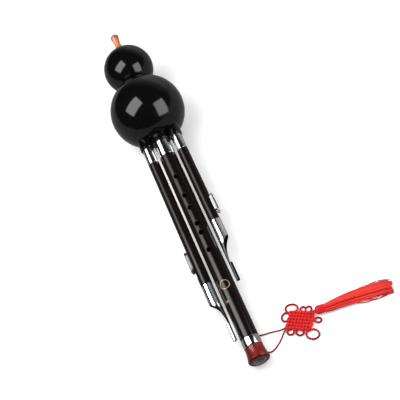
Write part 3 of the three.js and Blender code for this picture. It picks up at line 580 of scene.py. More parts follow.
def carved(name, form, cutters=(), joined=()):
    # joins and cuts closed forms, and gives one clean mesh
    base, *others = [linked(bpy.data.objects.new(name, facedOut(part.mesh(name))))
                     for part in (form, *joined, *cutters)]
    for i, other in enumerate(others):
        cut = base.modifiers.new("cut", "BOOLEAN")
        cut.operation, cut.solver, cut.object = "UNION" if i < len(joined) else "DIFFERENCE", "EXACT", other
    mesh = bpy.data.meshes.new_from_object(base.evaluated_get(bpy.context.evaluated_depsgraph_get()))
    for used in (*others, base):
        old = used.data
        bpy.data.objects.remove(used)
        bpy.data.meshes.remove(old)
    return mesh


def evened(mesh, skins):
    # where a corner lies on a true column (radius and x) or ball (with True as well), it shades as one,
    # so that cuts leave no dents
    normals = [Vector(n.vector) for n in mesh.corner_normals]
    for face in mesh.polygons:
        for k in face.loop_indices:
            point = mesh.vertices[mesh.loops[k].vertex_index].co
            for radius, x, *ball in skins:
                out = Vector((point.x - x, point.y if ball else 0, point.z))
                facing = face.normal.dot(out.normalized())
                if abs(out.length - radius) < 0.03 and abs(facing) > 0.9:
                    normals[k] = out.normalized() * (1 if facing > 0 else -1)
                    break
    mesh.normals_split_custom_set(normals)


def addPiece(node, mesh, finish, body, slot, place=onPipe, sharp=32, skins=()):
    # the piece stands for the plain solid of that node, and is named after it
    words = node.split("_")
    name = words[0] + "".join(word.capitalize() for word in words[1:]) + "Detail"
    if isinstance(mesh, Form):
        mesh = facedOut(mesh.mesh(name))
    mesh.name = name
    mesh.shade_smooth()
    mesh.set_sharp_from_angle(angle=radians(sharp))
    if skins:
        evened(mesh, skins)
    mesh.transform(place)
    mesh.materials.clear()
    mesh.materials.append(finish)
    piece = linked(bpy.data.objects.new(name, mesh))
    if node.endswith(("_slide", "_track")):
        slidelit.objects.link(piece)
    elif slot in ("chrome", "pipe", "mouthpiece") or node == "neck_coupling":
        striplit.objects.link(piece)
    if node.endswith("_end_tube"):
        tubelit.objects.link(piece)
    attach(piece, body)
    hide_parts(node)
    return piece


# Cord, knot and tassel
cord = {
    "radius": 0.75,
    "upper": [
        (0, -288.85, 4.73), (0.02, -288.9, 4.1), (0.2, -289.2, 3.05), (0.9, -290.1, 1.75),
        (2.2, -291.6, 0.95), (3.9, -293.3, 0.8), (6.1, -295.2, 0.78), (8.8, -297, 0.78),
        (11.8, -298, 0.78), (14.9, -298.6, 0.78), (18, -299.1, 0.78), (21, -299.8, 0.78),
        (24, -300.6, 0.78), (27, -301.4, 0.78), (29.7, -302, 0.85), (32.1, -302.35, 1.25),
        (34.3, -302.55, 1.8), (36.15, -302.6, 2.1)],
    "lower": [
        (0, -296.8, 3.98), (0.02, -296.9, 3.4), (0.15, -297.5, 2.27), (0.5, -298.8, 1.2),
        (1.1, -300.6, 0.8), (2, -303.2, 0.78), (3.2, -306.5, 0.78), (4.6, -310, 0.78),
        (6.3, -313.4, 0.78), (8.5, -316.4, 0.78), (11.2, -318.2, 0.78), (14.4, -318.4, 0.78),
        (17.6, -317.2, 0.78), (20.6, -315.4, 0.78), (23.4, -313.4, 0.78), (26, -311.3, 0.78),
        (28.3, -309, 0.78), (30.1, -307, 0.85), (31.9, -305.5, 1.2), (34, -304.7, 1.75),
        (36.15, -304.5, 2.1)],
    "bight": {"upper": -291.0, "lower": -299.0, "wall": -6.2, "mouth": -9.25},
}


def addStrand(name, route):
    path = threaded(route, 5)
    piece = addPiece(name, tube(path, cord["radius"], 14), cordFinish, "main_pipe_set", "cord",
                     onFloor, sharp=70)
    laid = [onFloor @ p for p in path]
    sum((b - a).length for a, b in zip(laid, laid[1:]))


def addBight():
    bight = cord["bight"]
    middle, turn = (bight["upper"] + bight["lower"]) / 2, (bight["upper"] - bight["lower"]) / 2
    inWall = (bight["wall"] + bight["mouth"]) / 2
    bend = [(0, height, z) for z, height in arc(bight["wall"], middle, turn, 90, -90, 12)]
    route = [(0, bight["upper"], bight["mouth"]), (0, bight["upper"], inWall), *bend,
             (0, bight["lower"], inWall), (0, bight["lower"], bight["mouth"])]
    return addPiece("cord_bight", tube(threaded(route, 3), cord["radius"], 14), pipeCordFinish,
                    "main_pipe_set", "cord", sharp=70)


# The knot is a pad of cord woven over and under, with loops left standing out of its sides.
# Its corners and loops are shares of its width, from its centre.
knot = {
    "centre": (50.5, -303.2), "width": 30.6, "radius": 0.85, "middle": 2.1, "earRadius": 0.98,
    "padRadius": 1.2, "padMiddle": 2.46, "padShare": 1.05,
    "corners": [(0.5, 0.029), (-0.144, 0.454), (-0.5, -0.029)],
    "long": 6, "short": 8,                    # how many times each of the two woven cords runs across
    "turn": -0.55, "mouth": 30,               # how the loops are turned and opened, in radians and degrees
    "ears": [
        {"at": (-0.085, 0.5425), "half": (0.203, 0.157)},
        {"at": (-0.3725, 0.3595), "half": (0.131, 0.15)},
        {"at": (0.219, 0.317), "half": (0.088, 0.118)},
        {"at": (0.3856, 0.242), "half": (0.0915, 0.118)},
        {"at": (0.513, -0.242), "half": (0.1045, 0.082)},
        {"at": (-0.4314, -0.193), "half": (0.111, 0.085)},
        {"at": (-0.1634, -0.34), "half": (0.121, 0.1045)},
        {"at": (0.17, -0.601), "half": (0.206, 0.16)}],
}


def onKnot(spot):
    return Vector(spot) * knot["width"]


def wovenCord(along, across, rows, columns, phase):
    # one cord that runs to and fro: it dips and rises where it meets each cord of the other set
    radius, height, path = knot["padRadius"], knot["padMiddle"], []
    reach, spread = along.length - 2 * radius, across.length - 2 * radius
    pitch, cross = spread / (rows - 1), reach / (columns - 1)
    a, b = along.normalized(), across.normalized()
    for j in range(rows):
        side = b * (pitch * j - spread / 2)
        line = []
        for k in range(2 * columns - 1):
            lift = 0 if k % 2 else (1 if (k // 2 + j + phase) % 2 else -1)
            spot = a * (cross * k / 2 - reach / 2) + side
            line.append((spot.x, spot.y, height + lift * radius * 0.98))
        way = -1 if j % 2 else 1
        path += line[::way]
        for t in (30, 90, 150) if j < rows - 1 else ():            # round the edge to the next row
            out, on = reach / 2 + pitch * 0.42 * sin(radians(t)), pitch * (1 - cos(radians(t))) / 2
            path.append((*(a * way * out + side + b * on), height))
    return path


def earPath(ear):
    centre, size = onKnot(ear["at"]), onKnot(ear["half"])
    inward = -centre.normalized()
    across = Vector((-inward.y, inward.x))
    mouth, middle, turn = radians(knot["mouth"]), knot["middle"], knot["turn"]
    start = atan2(inward.y, inward.x) - turn
    rim = []
    for k in range(17):
        angle = mouth + (pi - mouth) * 2 * k / 16
        spot = Vector((size.x * cos(start + angle), size.y * sin(start + angle)))
        spot = Matrix.Rotation(turn, 2) @ spot + centre
        rim.append((*spot, middle + (knot["earRadius"] - middle) * (1 - cos(angle)) / 2))
    root = centre + inward * (size.y + knot["radius"] * 3)
    first, last = ((*(root + across * side * knot["radius"]), middle) for side in (1, -1))
    return [first, *rim, last]


# The tassel: its skirt's middle line, widths and heights are shares along it
tassel = {
    "start": (67.8, -301.9), "turn": -0.184, "headLength": 8.5, "headRadius": 4.4,
    "ribs": 18, "ribRadius": 0.42, "windings": 5, "windingPitch": 0.72, "windingRadius": 0.36,
    "length": 68.2, "width": 16.6, "height": 8.0, "leadLength": 5.5,
    "route": [(0, 0), (0.067, -0.009), (0.258, -0.019), (0.383, -0.034), (0.504, -0.051),
              (0.625, -0.069), (0.745, -0.089), (0.867, -0.109), (1, -0.148)],
    "widths": [0.52, 0.64, 0.78, 0.87, 0.89, 0.9, 0.92, 0.94, 1],
    "heights": [1, 0.95, 0.8, 0.7, 0.625, 0.575, 0.525, 0.475, 0.375],
    "strands": 430, "locks": 26, "strandRadius": 0.34, "fanFrom": 0.82, "fanRate": 5.5, "splay": 0.7,
    "stray": 10, "strayRadius": 0.28, "seed": 7,
}
tasselHeading = Vector((cos(tassel["turn"]), sin(tassel["turn"])))


def leadPath(side):
    # one of the two short cords from the knot to the tassel's head
    radius = knot["radius"]
    across = Vector((-tasselHeading.y, tasselHeading.x)) * side * (radius + seatGap / 2)
    face = Vector(tassel["start"]) - Vector(knot["centre"]) + across
    length, high = tassel["leadLength"], tassel["headRadius"] - radius
    return [(*(face - tasselHeading * back), height) for back, height in
            ((length, knot["middle"]), (length / 2, knot["middle"]), (radius * 2, high), (seatGap, high))]


def addKnot():
    corners = [onKnot(c) * knot["padShare"] for c in knot["corners"]]
    along, across = corners[1] - corners[0], corners[2] - corners[1]
    long, short = knot["long"], knot["short"]
    cords = [(wovenCord(along, across, long, short, 0), 4, knot["padRadius"]),
             (wovenCord(across, along, short, long, 1), 4, knot["padRadius"]),
             *((earPath(ear), 3, knot["earRadius"]) for ear in knot["ears"]),
             *((leadPath(side), 5, knot["radius"]) for side in (-1, 1))]
    form = Form()
    for path, cells, radius in cords:
        form.add(tube(threaded(path, cells), radius, 12))
    form.moved(shift(*knot["centre"]))
    return addPiece("knot", form, cordFinish, "main_pipe_set", "cord", onFloor, sharp=70)


def addTasselHead():
    # cords gathered over a rounded top, with a tight winding round its middle
    length, radius = tassel["headLength"], tassel["headRadius"]
    outline = [(0, 0), *arc(radius * 0.42, radius * 0.5, radius * 0.5, -90, 0, 6)[1:],
               (radius * 0.92, length * 0.5), (radius * 0.86, length * 0.8), (radius * 0.9, length),
               (0, length)]
    form = Form().add(turned(softened(outline), 36))
    rib = [(radius * 0.2, 0.45), (radius * 0.6, 0.75), (radius * 0.86, radius * 0.42),
           (radius * 0.9, length * 0.5), (radius * 0.86, length * 0.78), (radius * 0.88, length - 0.3)]
    for s, c in circle(tassel["ribs"]):
        form.add(tube(threaded([(r * s, h, r * c) for r, h in rib], 3), tassel["ribRadius"], 8))
    thread = tassel["windingRadius"]
    for k in range(tassel["windings"]):
        height = length * 0.46 + k * tassel["windingPitch"]
        ring = [((radius - thread) * s, height, (radius - thread) * c) for s, c in circle(40)]
        form.add(tube(ring, thread, 8, closed=True))
    form.moved(shift(*tassel["start"], radius) @ spin(tassel["turn"] - pi / 2, "Z"))
    return addPiece("tassel_head", form, cordFinish, "main_pipe_set", "cord", onFloor, sharp=60)


def cellAt(values, share):
    at = min(max(share, 0), 1) * (len(values) - 1)
    i = min(len(values) - 2, int(at))
    return i, at - i


def between(values, share):
    i, rest = cellAt(values, share)
    return values[i] + (values[i + 1] - values[i]) * rest


def skirtFrame(line, share):                  # a place on the middle line, and the way across it there
    i, _ = cellAt(line, share)
    along = (line[min(i + 2, len(line) - 1)] - line[max(i - 1, 0)]).normalized()
    return between(line, share), Vector((-along.y, along.x, 0))


def strandPath(line, radius, splay, turn, out, drift, lag, end, steps=18):
    path = []
    for k in range(steps + 1):
        share = end * k / steps
        here, side = skirtFrame(line, share)
        width = tassel["width"] * between(tassel["widths"], share) / 2 - radius
        height = tassel["height"] * between(tassel["heights"], share) / 2
        spread = min(max(out * cos(turn) + drift * share * sin(share * 5 + lag), -1), 1)
        lift = out * sin(turn) * sqrt(max(0, 1 - spread ** 2 * 0.55))
        fan = max(0, share - tassel["fanFrom"]) * tassel["fanRate"]
        spot = here + side * (width * spread * (1 + 0.12 * fan) + splay * fan)
        path.append((spot.x, spot.y, max(radius, height + (height - radius) * lift)))
    return path


def strayPath(line, share, side, bow):        # a strand that left the bundle
    width = tassel["width"] * between(tassel["widths"], share) / 2
    path = []
    for k in range(9):
        here, across = skirtFrame(line, share - 0.16 + 0.34 * k / 8)
        spot = here + across * side * width * (bow + 0.38 * sin(pi * k / 8))
        path.append((spot.x, spot.y, 0.5 + 0.8 * (1 - k / 8)))
    return path


def addTasselSkirt():
    chance = Random(tassel["seed"])
    line = threaded([(x * tassel["length"], y * tassel["length"], 0) for x, y in tassel["route"]], 8)
    form = Form()
    locks = [(chance.uniform(0, 2 * pi), sqrt(chance.uniform(0.1, 1)) * 0.9, chance.uniform(-0.16, 0.16),
              chance.uniform(0, 2 * pi), 1 - 0.09 * chance.random() ** 2) for _ in range(tassel["locks"])]
    for n in range(tassel["strands"]):
        # strands keep their place in a lock, and each lock wanders a little and ends near the tip
        turn, out, drift, lag, end = locks[n % len(locks)]
        turn, out = turn + chance.gauss(0, 0.2), min(0.97, abs(out + chance.gauss(0, 0.1)))
        drift, end = drift + chance.gauss(0, 0.03), end - 0.08 * chance.random() ** 1.5
        radius, splay = tassel["strandRadius"] * chance.uniform(0.8, 1.2), chance.gauss(0, tassel["splay"])
        path = strandPath(line, radius, splay, turn, out, drift, lag, end)
        form.add(tube(path, radius, 5, ends=1, swell=lambda share: 1 - 0.55 * max(0, share - 0.8) * 5))
    for n in range(tassel["stray"]):
        path = strayPath(line, chance.uniform(0.5, 0.84), -1 if n % 3 else 1, 0.78 + 0.01 * n)
        form.add(tube(threaded(path, 2), tassel["strayRadius"], 5, ends=1))
    start = Vector(tassel["start"]) + tasselHeading * (tassel["headLength"] + seatGap)
    form.moved(shift(*start))
    addPiece("tassel_skirt", form, silkFinish, "main_pipe_set", "tassel", onFloor, sharp=80)


print("cord, knot and tassel")
knotPiece = addKnot()
headPiece = addTasselHead()
addTasselSkirt()
bightPiece = addBight()
addStrand("cord_upper_strand", cord["upper"])
addStrand("cord_lower_strand", cord["lower"])


# Gourd: two hollow balls, the neck between them and the block that carries the pipes
gourd = {
    "lowerRadius": 42.0, "upperRadius": 28.8, "wall": 3.0, "neckLength": 3.54,
    "neckRadius": 13.6, "neckBead": 1.0, "spigotRadius": 10.4, "spigotDepth": 4.5, "neckBore": 8.0,
    "sides": 192,
}
mouth = {
    "length": 28.6, "base": 4.45, "waist": 3.7, "lip": 4.85, "lipRounding": 1.6, "bore": 2.3,
    "tenon": 8.0, "ringRadius": 7.0, "ringHeight": 2.4,
}
# the block in the lower bulb: a domed disc with a socket for each pipe
plug = {
    "radius": 26.6, "rimWidth": 3.0, "rimHeight": 3.4, "thickness": 3.5, "socketLength": 49.2,
    "chamfer": 1.0, "pilot": 3.0,             # a first hole through the disc, inside the main bore
}
pipes = {"spacing": 17.5, "collarLength": 20.2, "collarWall": 0.6}
mainPipe = {"radius": 9.25, "bore": 6.2, "socket": 10.4, "socketBore": 8.0}
dronePipe = {"radius": 6.05, "bore": 3.7, "socket": 7.5, "socketBore": 5.3}
pipeTop = plug["socketLength"] + seatGap


def chord(radius, offset):
    return sqrt(radius ** 2 - offset ** 2)


lowerSeat = chord(gourd["lowerRadius"], gourd["neckRadius"] + seatGap)
upperSeat = lowerSeat + gourd["neckLength"]
upperCentre = upperSeat + chord(gourd["upperRadius"], gourd["neckRadius"] + seatGap)
mouthSeat = upperCentre + chord(gourd["upperRadius"], mouth["ringRadius"] + seatGap)


def addBulb(name, centre, radius, top, topHole, bottom, bottomHole):
    inner = radius - gourd["wall"]
    ends = [degrees(asin((height - centre) / radius)) for height in (bottom, top)]
    insideEnds = degrees(acos(topHole / inner)), -degrees(acos(bottomHole / inner))
    outline = [(bottomHole, bottom), *arc(0, centre, radius, *ends, 72),
               (topHole, top), *arc(0, centre, inner, *insideEnds, 36)]
    addPiece(name, turned(outline, gourd["sides"]), lacquerFinish, "gourd", "gourd")


def addGourd():
    spigot, bore, depth = gourd["spigotRadius"], gourd["neckBore"], gourd["spigotDepth"]
    neckHole, plugHole = spigot + seatGap, plug["radius"] + seatGap
    big, small = gourd["lowerRadius"], gourd["upperRadius"]
    addBulb("lower_bulb", 0, big, lowerSeat, neckHole, -chord(big, plugHole), plugHole)
    addBulb("upper_bulb", upperCentre, small, mouthSeat, mouth["base"] + seatGap, upperSeat, neckHole)

    low, high = lowerSeat + seatGap, upperSeat - seatGap
    half = (high - low) / 4
    bead, inside = gourd["neckBead"], gourd["neckRadius"] - gourd["neckBead"]
    beads = [spot for middle in (low + half, high - half)
             for spot in arc(inside, middle, bead, -90, 90, 12, half)]
    outline = [(bore, lowerSeat - depth, 0.4), (spigot, lowerSeat - depth, 0.4), (spigot, low), *beads,
               (spigot, high), (spigot, upperSeat + depth, 0.4), (bore, upperSeat + depth, 0.4)]
    addPiece("neck_coupling", turned(softened(outline), gourd["sides"]),
             brightPlate("neck plate", (400, -400), 0.2), "gourd", "gourd", sharp=50)


def addMouthpiece():
    bottom = mouthSeat + seatGap
    top = bottom + mouth["ringHeight"]
    bore, wide, rounding = mouth["base"] + seatGap, mouth["ringRadius"], mouth["ringHeight"] / 2
    outline = [(bore, bottom), (wide, bottom, 0.3),
               *arc(wide - rounding, top - rounding, rounding, 0, 90, 8), (bore, top, 0.3)]
    addPiece("mouthpiece_ring", turned(softened(outline), 96), plateFinish, "gourd", "chrome")

    base, waist, lip, rounding = mouth["base"], mouth["waist"], mouth["lip"], mouth["lipRounding"]
    low, tip = mouthSeat - mouth["tenon"], mouthSeat + mouth["length"]
    lipHeight = tip - rounding
    waistLow, waistHigh = (top + (lipHeight - top) * share for share in (0.38, 0.58))
    outline = [(mouth["bore"], low, 0.3), (base, low, 0.6), *slope((base, top), (waist, waistLow), 16),
               (waist, waistLow), *slope((waist, waistHigh), (lip, lipHeight), 16),
               *arc(lip - rounding, lipHeight, rounding, 0, 90, 10), (mouth["bore"], tip, 0.5)]
    addPiece("mouthpiece", turned(softened(outline), 96), amberFinish, "gourd", "mouthpiece")


def addBasePlug():
    ballRadius, radius, pilot = gourd["lowerRadius"], plug["radius"], plug["pilot"]
    rimBottom = -chord(ballRadius, radius)
    rimTop, floor = rimBottom + plug["rimHeight"], rimBottom + plug["thickness"] / 2
    dome = arc(0, 0, ballRadius, -degrees(acos(radius / ballRadius)), -90, 28)[:-1]
    inner = radius - plug["rimWidth"]
    disc = turned(softened([(pilot, floor), (inner, floor), (inner, rimTop, 0.3), (radius, rimTop, 0.3),
                            *dome, (pilot, -chord(ballRadius, pilot))]), 128)
    low, high, chamfer = -plug["socketLength"], floor - seatGap, plug["chamfer"]
    sockets, bores, skins = [], [], [(ballRadius, 0, True)]
    for pipe, x in ((dronePipe, -pipes["spacing"]), (mainPipe, 0), (dronePipe, pipes["spacing"])):
        wide, bore = pipe["socket"], pipe["socketBore"]
        outline = softened([(bore / 2, low), (wide - chamfer, low, 0.5), (wide, low + chamfer, 0.5),
                            (wide, high), (bore / 2, high)])
        sockets.append(turned(stepped(outline), 96).moved(shift(x, 0)))
        bores.append(rod(bore, low - 2, floor + 2).moved(shift(x, 0)))
        skins += [(wide, x), (bore, x)]
    mesh = carved("base_plug", disc, bores, sockets)
    addPiece("base_plug", mesh, lacquerFinish, "gourd", "gourd", skins=skins)


print("gourd and mouthpiece")
addGourd()
addMouthpiece()
addBasePlug()

# Main pipe with its holes, inlays and foot
melody = {
    "ferruleTop": 303.8, "ferruleLength": 9.1, "ferruleRadius": 9.55, "tenonRadius": 7.9, "tenonLength": 16.0,
    "bellLength": 15.3, "bellNeck": 9.4, "bellRadius": 11.1, "bellRounding": 2.2,
    "holeRadius": 2.6, "holeShares": [0.1905, 0.2853, 0.3445, 0.4198, 0.4618, 0.5414], "thumbShare": 0.115,
    "holeSoftness": 0.55, "cordHoleRadius": 1.2, "cordHoles": [4.8, 12.8], "cordHoleSoftness": 0.2,
    "ringRadius": 5.3, "ringWidth": 1.0, "ringAbove": 60.1, "dotRadius": 1.4, "dotAbove": 42.1,
    "dotOffset": -4.2, "inlayDepth": 0.5, "inlayStand": 0.2, "inlaySoftness": 0.25,
}
footEnd = melody["ferruleTop"] + melody["ferruleLength"] + seatGap + melody["bellLength"]


def pipeForm(pipe, end, tenon, tip, sides):
    # a pipe with a seat for its collar and a tenon at its end, and the columns that it shades as
    radius, bore = pipe["radius"], pipe["bore"]
    seat, shoulder = radius - pipes["collarWall"] - seatGap, -pipeTop - pipes["collarLength"] - seatGap
    outline = softened([(bore, -pipeTop, 0.3), (seat, -pipeTop, 0.3), (seat, shoulder),
                        (radius, shoulder, 0.35), (radius, end, 0.35), (tenon, end), (tenon, tip, 0.3),
                        (bore, tip, 0.3)])
    return turned(stepped(outline), sides), [(r, 0) for r in (radius, bore, seat, tenon)]


def holeCutter(radius, height, turn, softness):
    # a round hole in the main pipe that flares where it leaves the wall
    wall, wide = mainPipe["radius"], radius + softness
    outline = [(0, 0), (radius, 0), *arc(wide, wall - softness * 1.3, softness, 180, 90, 6),
               (wide, wall + 2), (0, wall + 2)]
    return turned(outline, 48).moved(shift(0, height) @ spin(turn, "Y") @ spin(pi / 2, "X"))


def inlay(radius, hole, x, y, low, high, softness=0.0, sides=96):
    # a ring laid round the main pipe's skin, from low to high above it
    form, rows = Form(), []
    section = softened([(hole, low), (radius, low), (radius, high, softness), (hole, high, softness)])
    for out, level in section:
        spots = [(x + out * c, y + out * s) for s, c in circle(sides)]
        rows.append(form.row([(px, py, chord(mainPipe["radius"] + level, px)) for px, py in spots]))
    return form.skin(rows + rows[:1])


def addMainPipe():
    ferrule, sounding = -melody["ferruleTop"], footEnd - pipeTop
    form, skins = pipeForm(mainPipe, ferrule + seatGap, melody["tenonRadius"],
                           ferrule - melody["tenonLength"], 128)
    shares = [(share, 0) for share in melody["holeShares"]] + [(melody["thumbShare"], pi)]
    cutters = [holeCutter(melody["holeRadius"], -pipeTop - sounding * share, turn, melody["holeSoftness"])
               for share, turn in shares]
    cutters += [holeCutter(melody["cordHoleRadius"], ferrule + above, pi, melody["cordHoleSoftness"])
                for above in melody["cordHoles"]]
    ringHole, dotHole = melody["ringRadius"] - melody["ringWidth"], 0.001
    deep, stand = -melody["inlayDepth"], melody["inlayStand"]
    marks = [("ring", 0, ringHole, ringHole - seatGap), ("dot", melody["dotOffset"], dotHole, dotHole)]
    for name, x, hole, seatHole in marks:
        radius, y = melody[name + "Radius"], ferrule + melody[name + "Above"]
        cutters.append(inlay(radius + seatGap, seatHole, x, y, deep, 2))
        mark = inlay(radius, hole, x, y, deep + seatGap, stand, melody["inlaySoftness"])
        addPiece(name + "_mark", mark, goldFinish, "main_pipe_set", "gold_mark", sharp=50)
    mesh = carved("main_pipe", form, cutters)
    addPiece("main_pipe", mesh, woodFinish, "main_pipe_set", "pipe", skins=skins)


def addFoot():
    top = -melody["ferruleTop"]
    bottom = top - melody["ferruleLength"]
    inner, outer = melody["tenonRadius"] + seatGap, melody["ferruleRadius"]
    outline = [(inner, bottom, 0.2), (outer, bottom, 0.7), (outer, top, 0.7), (inner, top, 0.2)]
    addPiece("foot_ferrule", turned(softened(outline, 6)), plateFinish, "main_pipe_set", "chrome")

    neck, wide, rounding = melody["bellNeck"], melody["bellRadius"], melody["bellRounding"]
    bellTop, rim = bottom - seatGap, rounding - footEnd
    flare = [(neck + (wide - neck) * (k / 24) ** 2, bellTop + (rim - bellTop) * k / 24) for k in range(25)]
    bore, socketEnd = mainPipe["bore"], top - melody["tenonLength"] - seatGap
    outline = [(inner, bellTop, 0.3), (*flare[0], 0.5), *flare[1:],
               *arc(wide - rounding, rim, rounding, 0, -90, 12)[1:],
               (bore, -footEnd, 0.6), (bore, socketEnd), (inner, socketEnd)]
    addPiece("foot_bell", turned(softened(outline, 6)), redFinish, "main_pipe_set", "foot")


def addCollar(name, pipe, x, body):
    outer, inner = pipe["radius"], pipe["radius"] - pipes["collarWall"]
    top, bottom = -pipeTop, -pipeTop - pipes["collarLength"]
    outline = softened([(inner, bottom, 0.1), (outer, bottom, 0.3), (outer, top, 0.3), (inner, top, 0.1)])
    addPiece(name + "_top_collar", turned(outline, 112).moved(shift(x, 0)), plateFinish, body, "chrome")


print("main pipe and foot")
addMainPipe()
addFoot()
addCollar("main", mainPipe, 0, "main_pipe_set")

# Drones: pipe, polished end tube with its scoop, and the slide in its track
drones = {
    "tenonLength": 12.0, "endRadius": 5.9, "endWall": 0.55, "wideLength": 21.5, "narrowing": 22.0,
    "scoopFloor": 4.0, "entryDrop": 3.0, "entryReach": 0.3, "bellyDrop": 10.5, "bellyReach": 2.6,
    "tailRadius": 2.0, "rimRounding": 0.16,
}
shortDrone = {
    "pipeEnd": 168.9, "slideTop": 136.6, "scoopLength": 29.7, "tailLength": 21.3, "paintedDarkLength": 59.3,
}
longDrone = {
    "pipeEnd": 231.3, "slideTop": 187.7, "scoopLength": 26.1, "tailLength": 19.4, "paintedDarkLength": 26.1,
}
slider = {
    "flat": 4.6, "trackLength": 9.0, "trackHeight": 4.0, "trackWall": 0.5, "trackBase": 0.4, "lip": 0.8,
    "gap": 0.25, "width": 5.0, "thickness": 0.6, "travel": 8.0, "curlRadius": 1.5, "curlTurns": 0.8,
    "endGap": 0.35, "toneHole": 1.4,
}
curlReach = slider["curlRadius"] + slider["thickness"] / 2 + slider["endGap"]
channelLength = slider["trackLength"] + slider["travel"]
slideSpan = channelLength + curlReach * 2     # from one curl's middle to the other's
trackFace = slider["flat"] + seatGap
stripMiddle = trackFace + slider["trackBase"] + slider["gap"] + slider["thickness"] / 2


def toneHole(height, reach):                  # a rod out through the wall, towards the slide
    return rod(slider["toneHole"], 0, reach, 40).moved(shift(0, height) @ spin(-pi / 2, "Z"))


def scoopedTube(drone):
    # a tube that narrows along a straight inner side, and the form that cuts its scoop
    top = -drone["pipeEnd"] - seatGap
    scoopTop = top - drones["wideLength"]
    tailTop, narrowed = scoopTop - drone["scoopLength"], scoopTop - drones["narrowing"]
    low = tailTop - drone["tailLength"]
    wide, narrow, wall = drones["endRadius"], drones["tailRadius"], drones["endWall"]
    outline = [*slope((wide, top), (wide, scoopTop), 6), *slope((wide, scoopTop), (narrow, narrowed), 28),
               *slope((narrow, narrowed), (narrow, low), 6), (narrow, low)]
    stations = [(height, radius - wide, radius) for radius, height in outline]
    rim, aside = drones["rimRounding"], narrow - wide
    outside = [(top, 0, wide - rim), (top - rim, 0, wide), *stations[1:-1],
               (low + rim, aside, narrow), (low, aside, narrow - rim)]
    inside = [(low, aside, narrow - wall + rim * 0.6), *[(h, x, r - wall) for h, x, r in stations[-2:0:-1]],
              (top, 0, wide - wall + rim * 0.6)]
    form = Form()
    rows = [form.row([(x + radius * s, height, radius * c) for s, c in circle(80)])
            for height, x, radius in outside + inside]
    form.skin(rows + rows[:1])

    entry, belly = drones["entryReach"], drones["bellyReach"]
    a, b, c, d = (Vector(p) for p in (
        (wide, scoopTop), (-entry, scoopTop - drones["entryDrop"]), (-belly, scoopTop - drones["bellyDrop"]),
        (-drones["scoopFloor"] - seatGap, tailTop)))
    cut = [tuple(a * (1 - t) ** 3 + b * 3 * t * (1 - t) ** 2 + c * 3 * t * t * (1 - t) + d * t ** 3)
           for t in (k / 40 for k in range(41))]
    return form, prism([(wide + 2, scoopTop), *cut, (wide + 2, tailTop)], wide * 2 + 4, "Z")


def ribbon(line, width, thickness):
    # a flat strip with rounded edges that follows a line in x and y
    half, edge = width / 2, thickness / 2
    section = arc(edge - half, 0, edge, 180, 90, 3)
    section += [(-s, h) for s, h in section[::-1]]
    section += [(s, -h) for s, h in section[::-1]][1:-1]
    form, rows = Form(), []
    for here, before, after in zip(line, line[:1] + line, line[1:] + line[-1:]):
        heading = (after - before).normalized()
        rows.append(form.row([(here.x - heading.y * h, here.y + heading.x * h, s) for s, h in section]))
    return form.skin(rows, capped=True)


def addSlide(name, upperCurl, middle, place, finish):
    radius = slider["curlRadius"]
    turns = [2 * pi * slider["curlTurns"] * k / 36 for k in range(37)]
    top, low = ([Vector((stripMiddle + radius * (1 - cos(t)), height + way * radius * sin(t))) for t in turns]
                for height, way in ((upperCurl, 1), (upperCurl - slideSpan, -1)))
    strip = [top[0].lerp(low[0], k / 8) for k in range(1, 8)]
    form = ribbon(top[::-1] + strip + low, slider["width"], slider["thickness"])
    mesh = carved(name, form, [toneHole(middle + slider["travel"], stripMiddle + 1)])
    addPiece(name + "_slide", mesh, finish, name + "_valve", "chrome", place, sharp=40)


def addTrack(name, middle, place, finish):
    # a channel with two lips over the slide
    wall, base, gap = slider["trackWall"], slider["trackBase"], slider["gap"]
    inside = slider["width"] / 2 + gap
    outside, roof = inside + wall, stripMiddle + slider["thickness"] / 2 + gap
    floor, top = trackFace + base, trackFace + slider["trackHeight"]
    half = [(trackFace, outside, 0.15), (top, outside, 0.25), (top, inside, 0.2), (floor, inside, 0.1)]
    section = softened([*half, *((x, -z, rounding) for x, z, rounding in half[::-1])])
    channel = prism(section, channelLength).moved(shift(0, middle + slider["travel"] / 2))
    wide = slider["lip"] + gap + wall / 2
    aside = outside - (wall + wide) / 2
    lips = [block(base, slider["trackLength"], wide, roof + base / 2, middle, z) for z in (-aside, aside)]
    mesh = carved(name, channel, [toneHole(middle, stripMiddle)], lips)
    addPiece(name + "_slide_track", mesh, finish, name + "_set", "chrome", place, sharp=40)


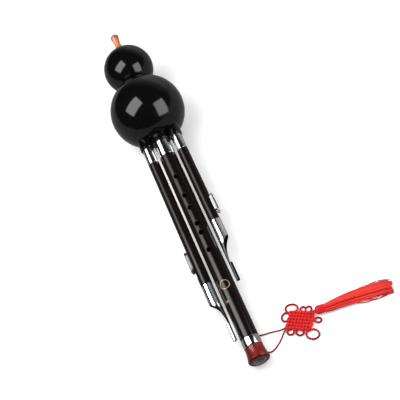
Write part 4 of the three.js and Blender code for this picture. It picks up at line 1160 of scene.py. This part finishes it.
def addDrone(name, drone, place, tubeFinish, slideFinish):
    radius, travel, end = dronePipe["radius"], slider["travel"], -drone["pipeEnd"]
    upperCurl = -drone["slideTop"] - curlReach + slider["endGap"]
    middle = upperCurl - slideSpan + curlReach + slider["trackLength"] / 2
    addSlide(name, upperCurl, middle, place, slideFinish)
    addTrack(name, middle, place, slideFinish)

    tenon = drones["endRadius"] - drones["endWall"] - seatGap
    form, skins = pipeForm(dronePipe, end, tenon, end - drones["tenonLength"], 96)
    face = stripMiddle - slider["thickness"] / 2 - slider["gap"]
    high, low = upperCurl + curlReach, upperCurl - slideSpan - travel - curlReach
    cutters = [block(radius, channelLength + seatGap * 2, radius * 2 + 2, slider["flat"] + radius / 2,
                     middle + travel / 2, 0),
               block(radius, high - low, radius * 2 + 2, face + radius / 2, (high + low) / 2, 0),
               toneHole(middle, radius + 2)]
    addPiece(name + "_pipe", carved(name, form, cutters), woodFinish, name + "_set", "pipe", place,
             skins=skins)
    form, cut = scoopedTube(drone)
    addPiece(name + "_end_tube", carved(name, form, [cut]), tubeFinish, name + "_set", "chrome", place)


def scoopPlate(name, drone):                  # painted reflection: darker from the scoop down, for the dark room mirrored there
    top = -drone["pipeEnd"] - seatGap - drones["wideLength"]
    return brightPlate(name, (top, top - drone["paintedDarkLength"]))


print("drones")
shortPlace = onPipe @ shift(pipes["spacing"], 0)
longPlace = onPipe @ shift(-pipes["spacing"], 0) @ spin(pi, "Y")
addDrone("short_drone", shortDrone, shortPlace, scoopPlate("short scooped plate", shortDrone), plateFinish)
# painted shade: the long drone's slide and track take a darker copy of the polished plate
addDrone("long_drone", longDrone, longPlace, scoopPlate("long scooped plate", longDrone),
         brightPlate("plate painted dark", (0, -400), 0.10))
addCollar("short_drone", dronePipe, pipes["spacing"], "short_drone_set")
addCollar("long_drone", dronePipe, -pipes["spacing"], "long_drone_set")

# The inner parts keep the frame's own solids
inner = {"_reed_tube": brassFinish, "_reed_plate": brassFinish,
         "_reed_stopper": corkFinish, "_cork": corkFinish}
for pipe in ("main", "short_drone", "long_drone"):
    for part, finish in inner.items():
        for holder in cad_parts[pipe + part].material_slots:
            holder.material = finish

print("done")
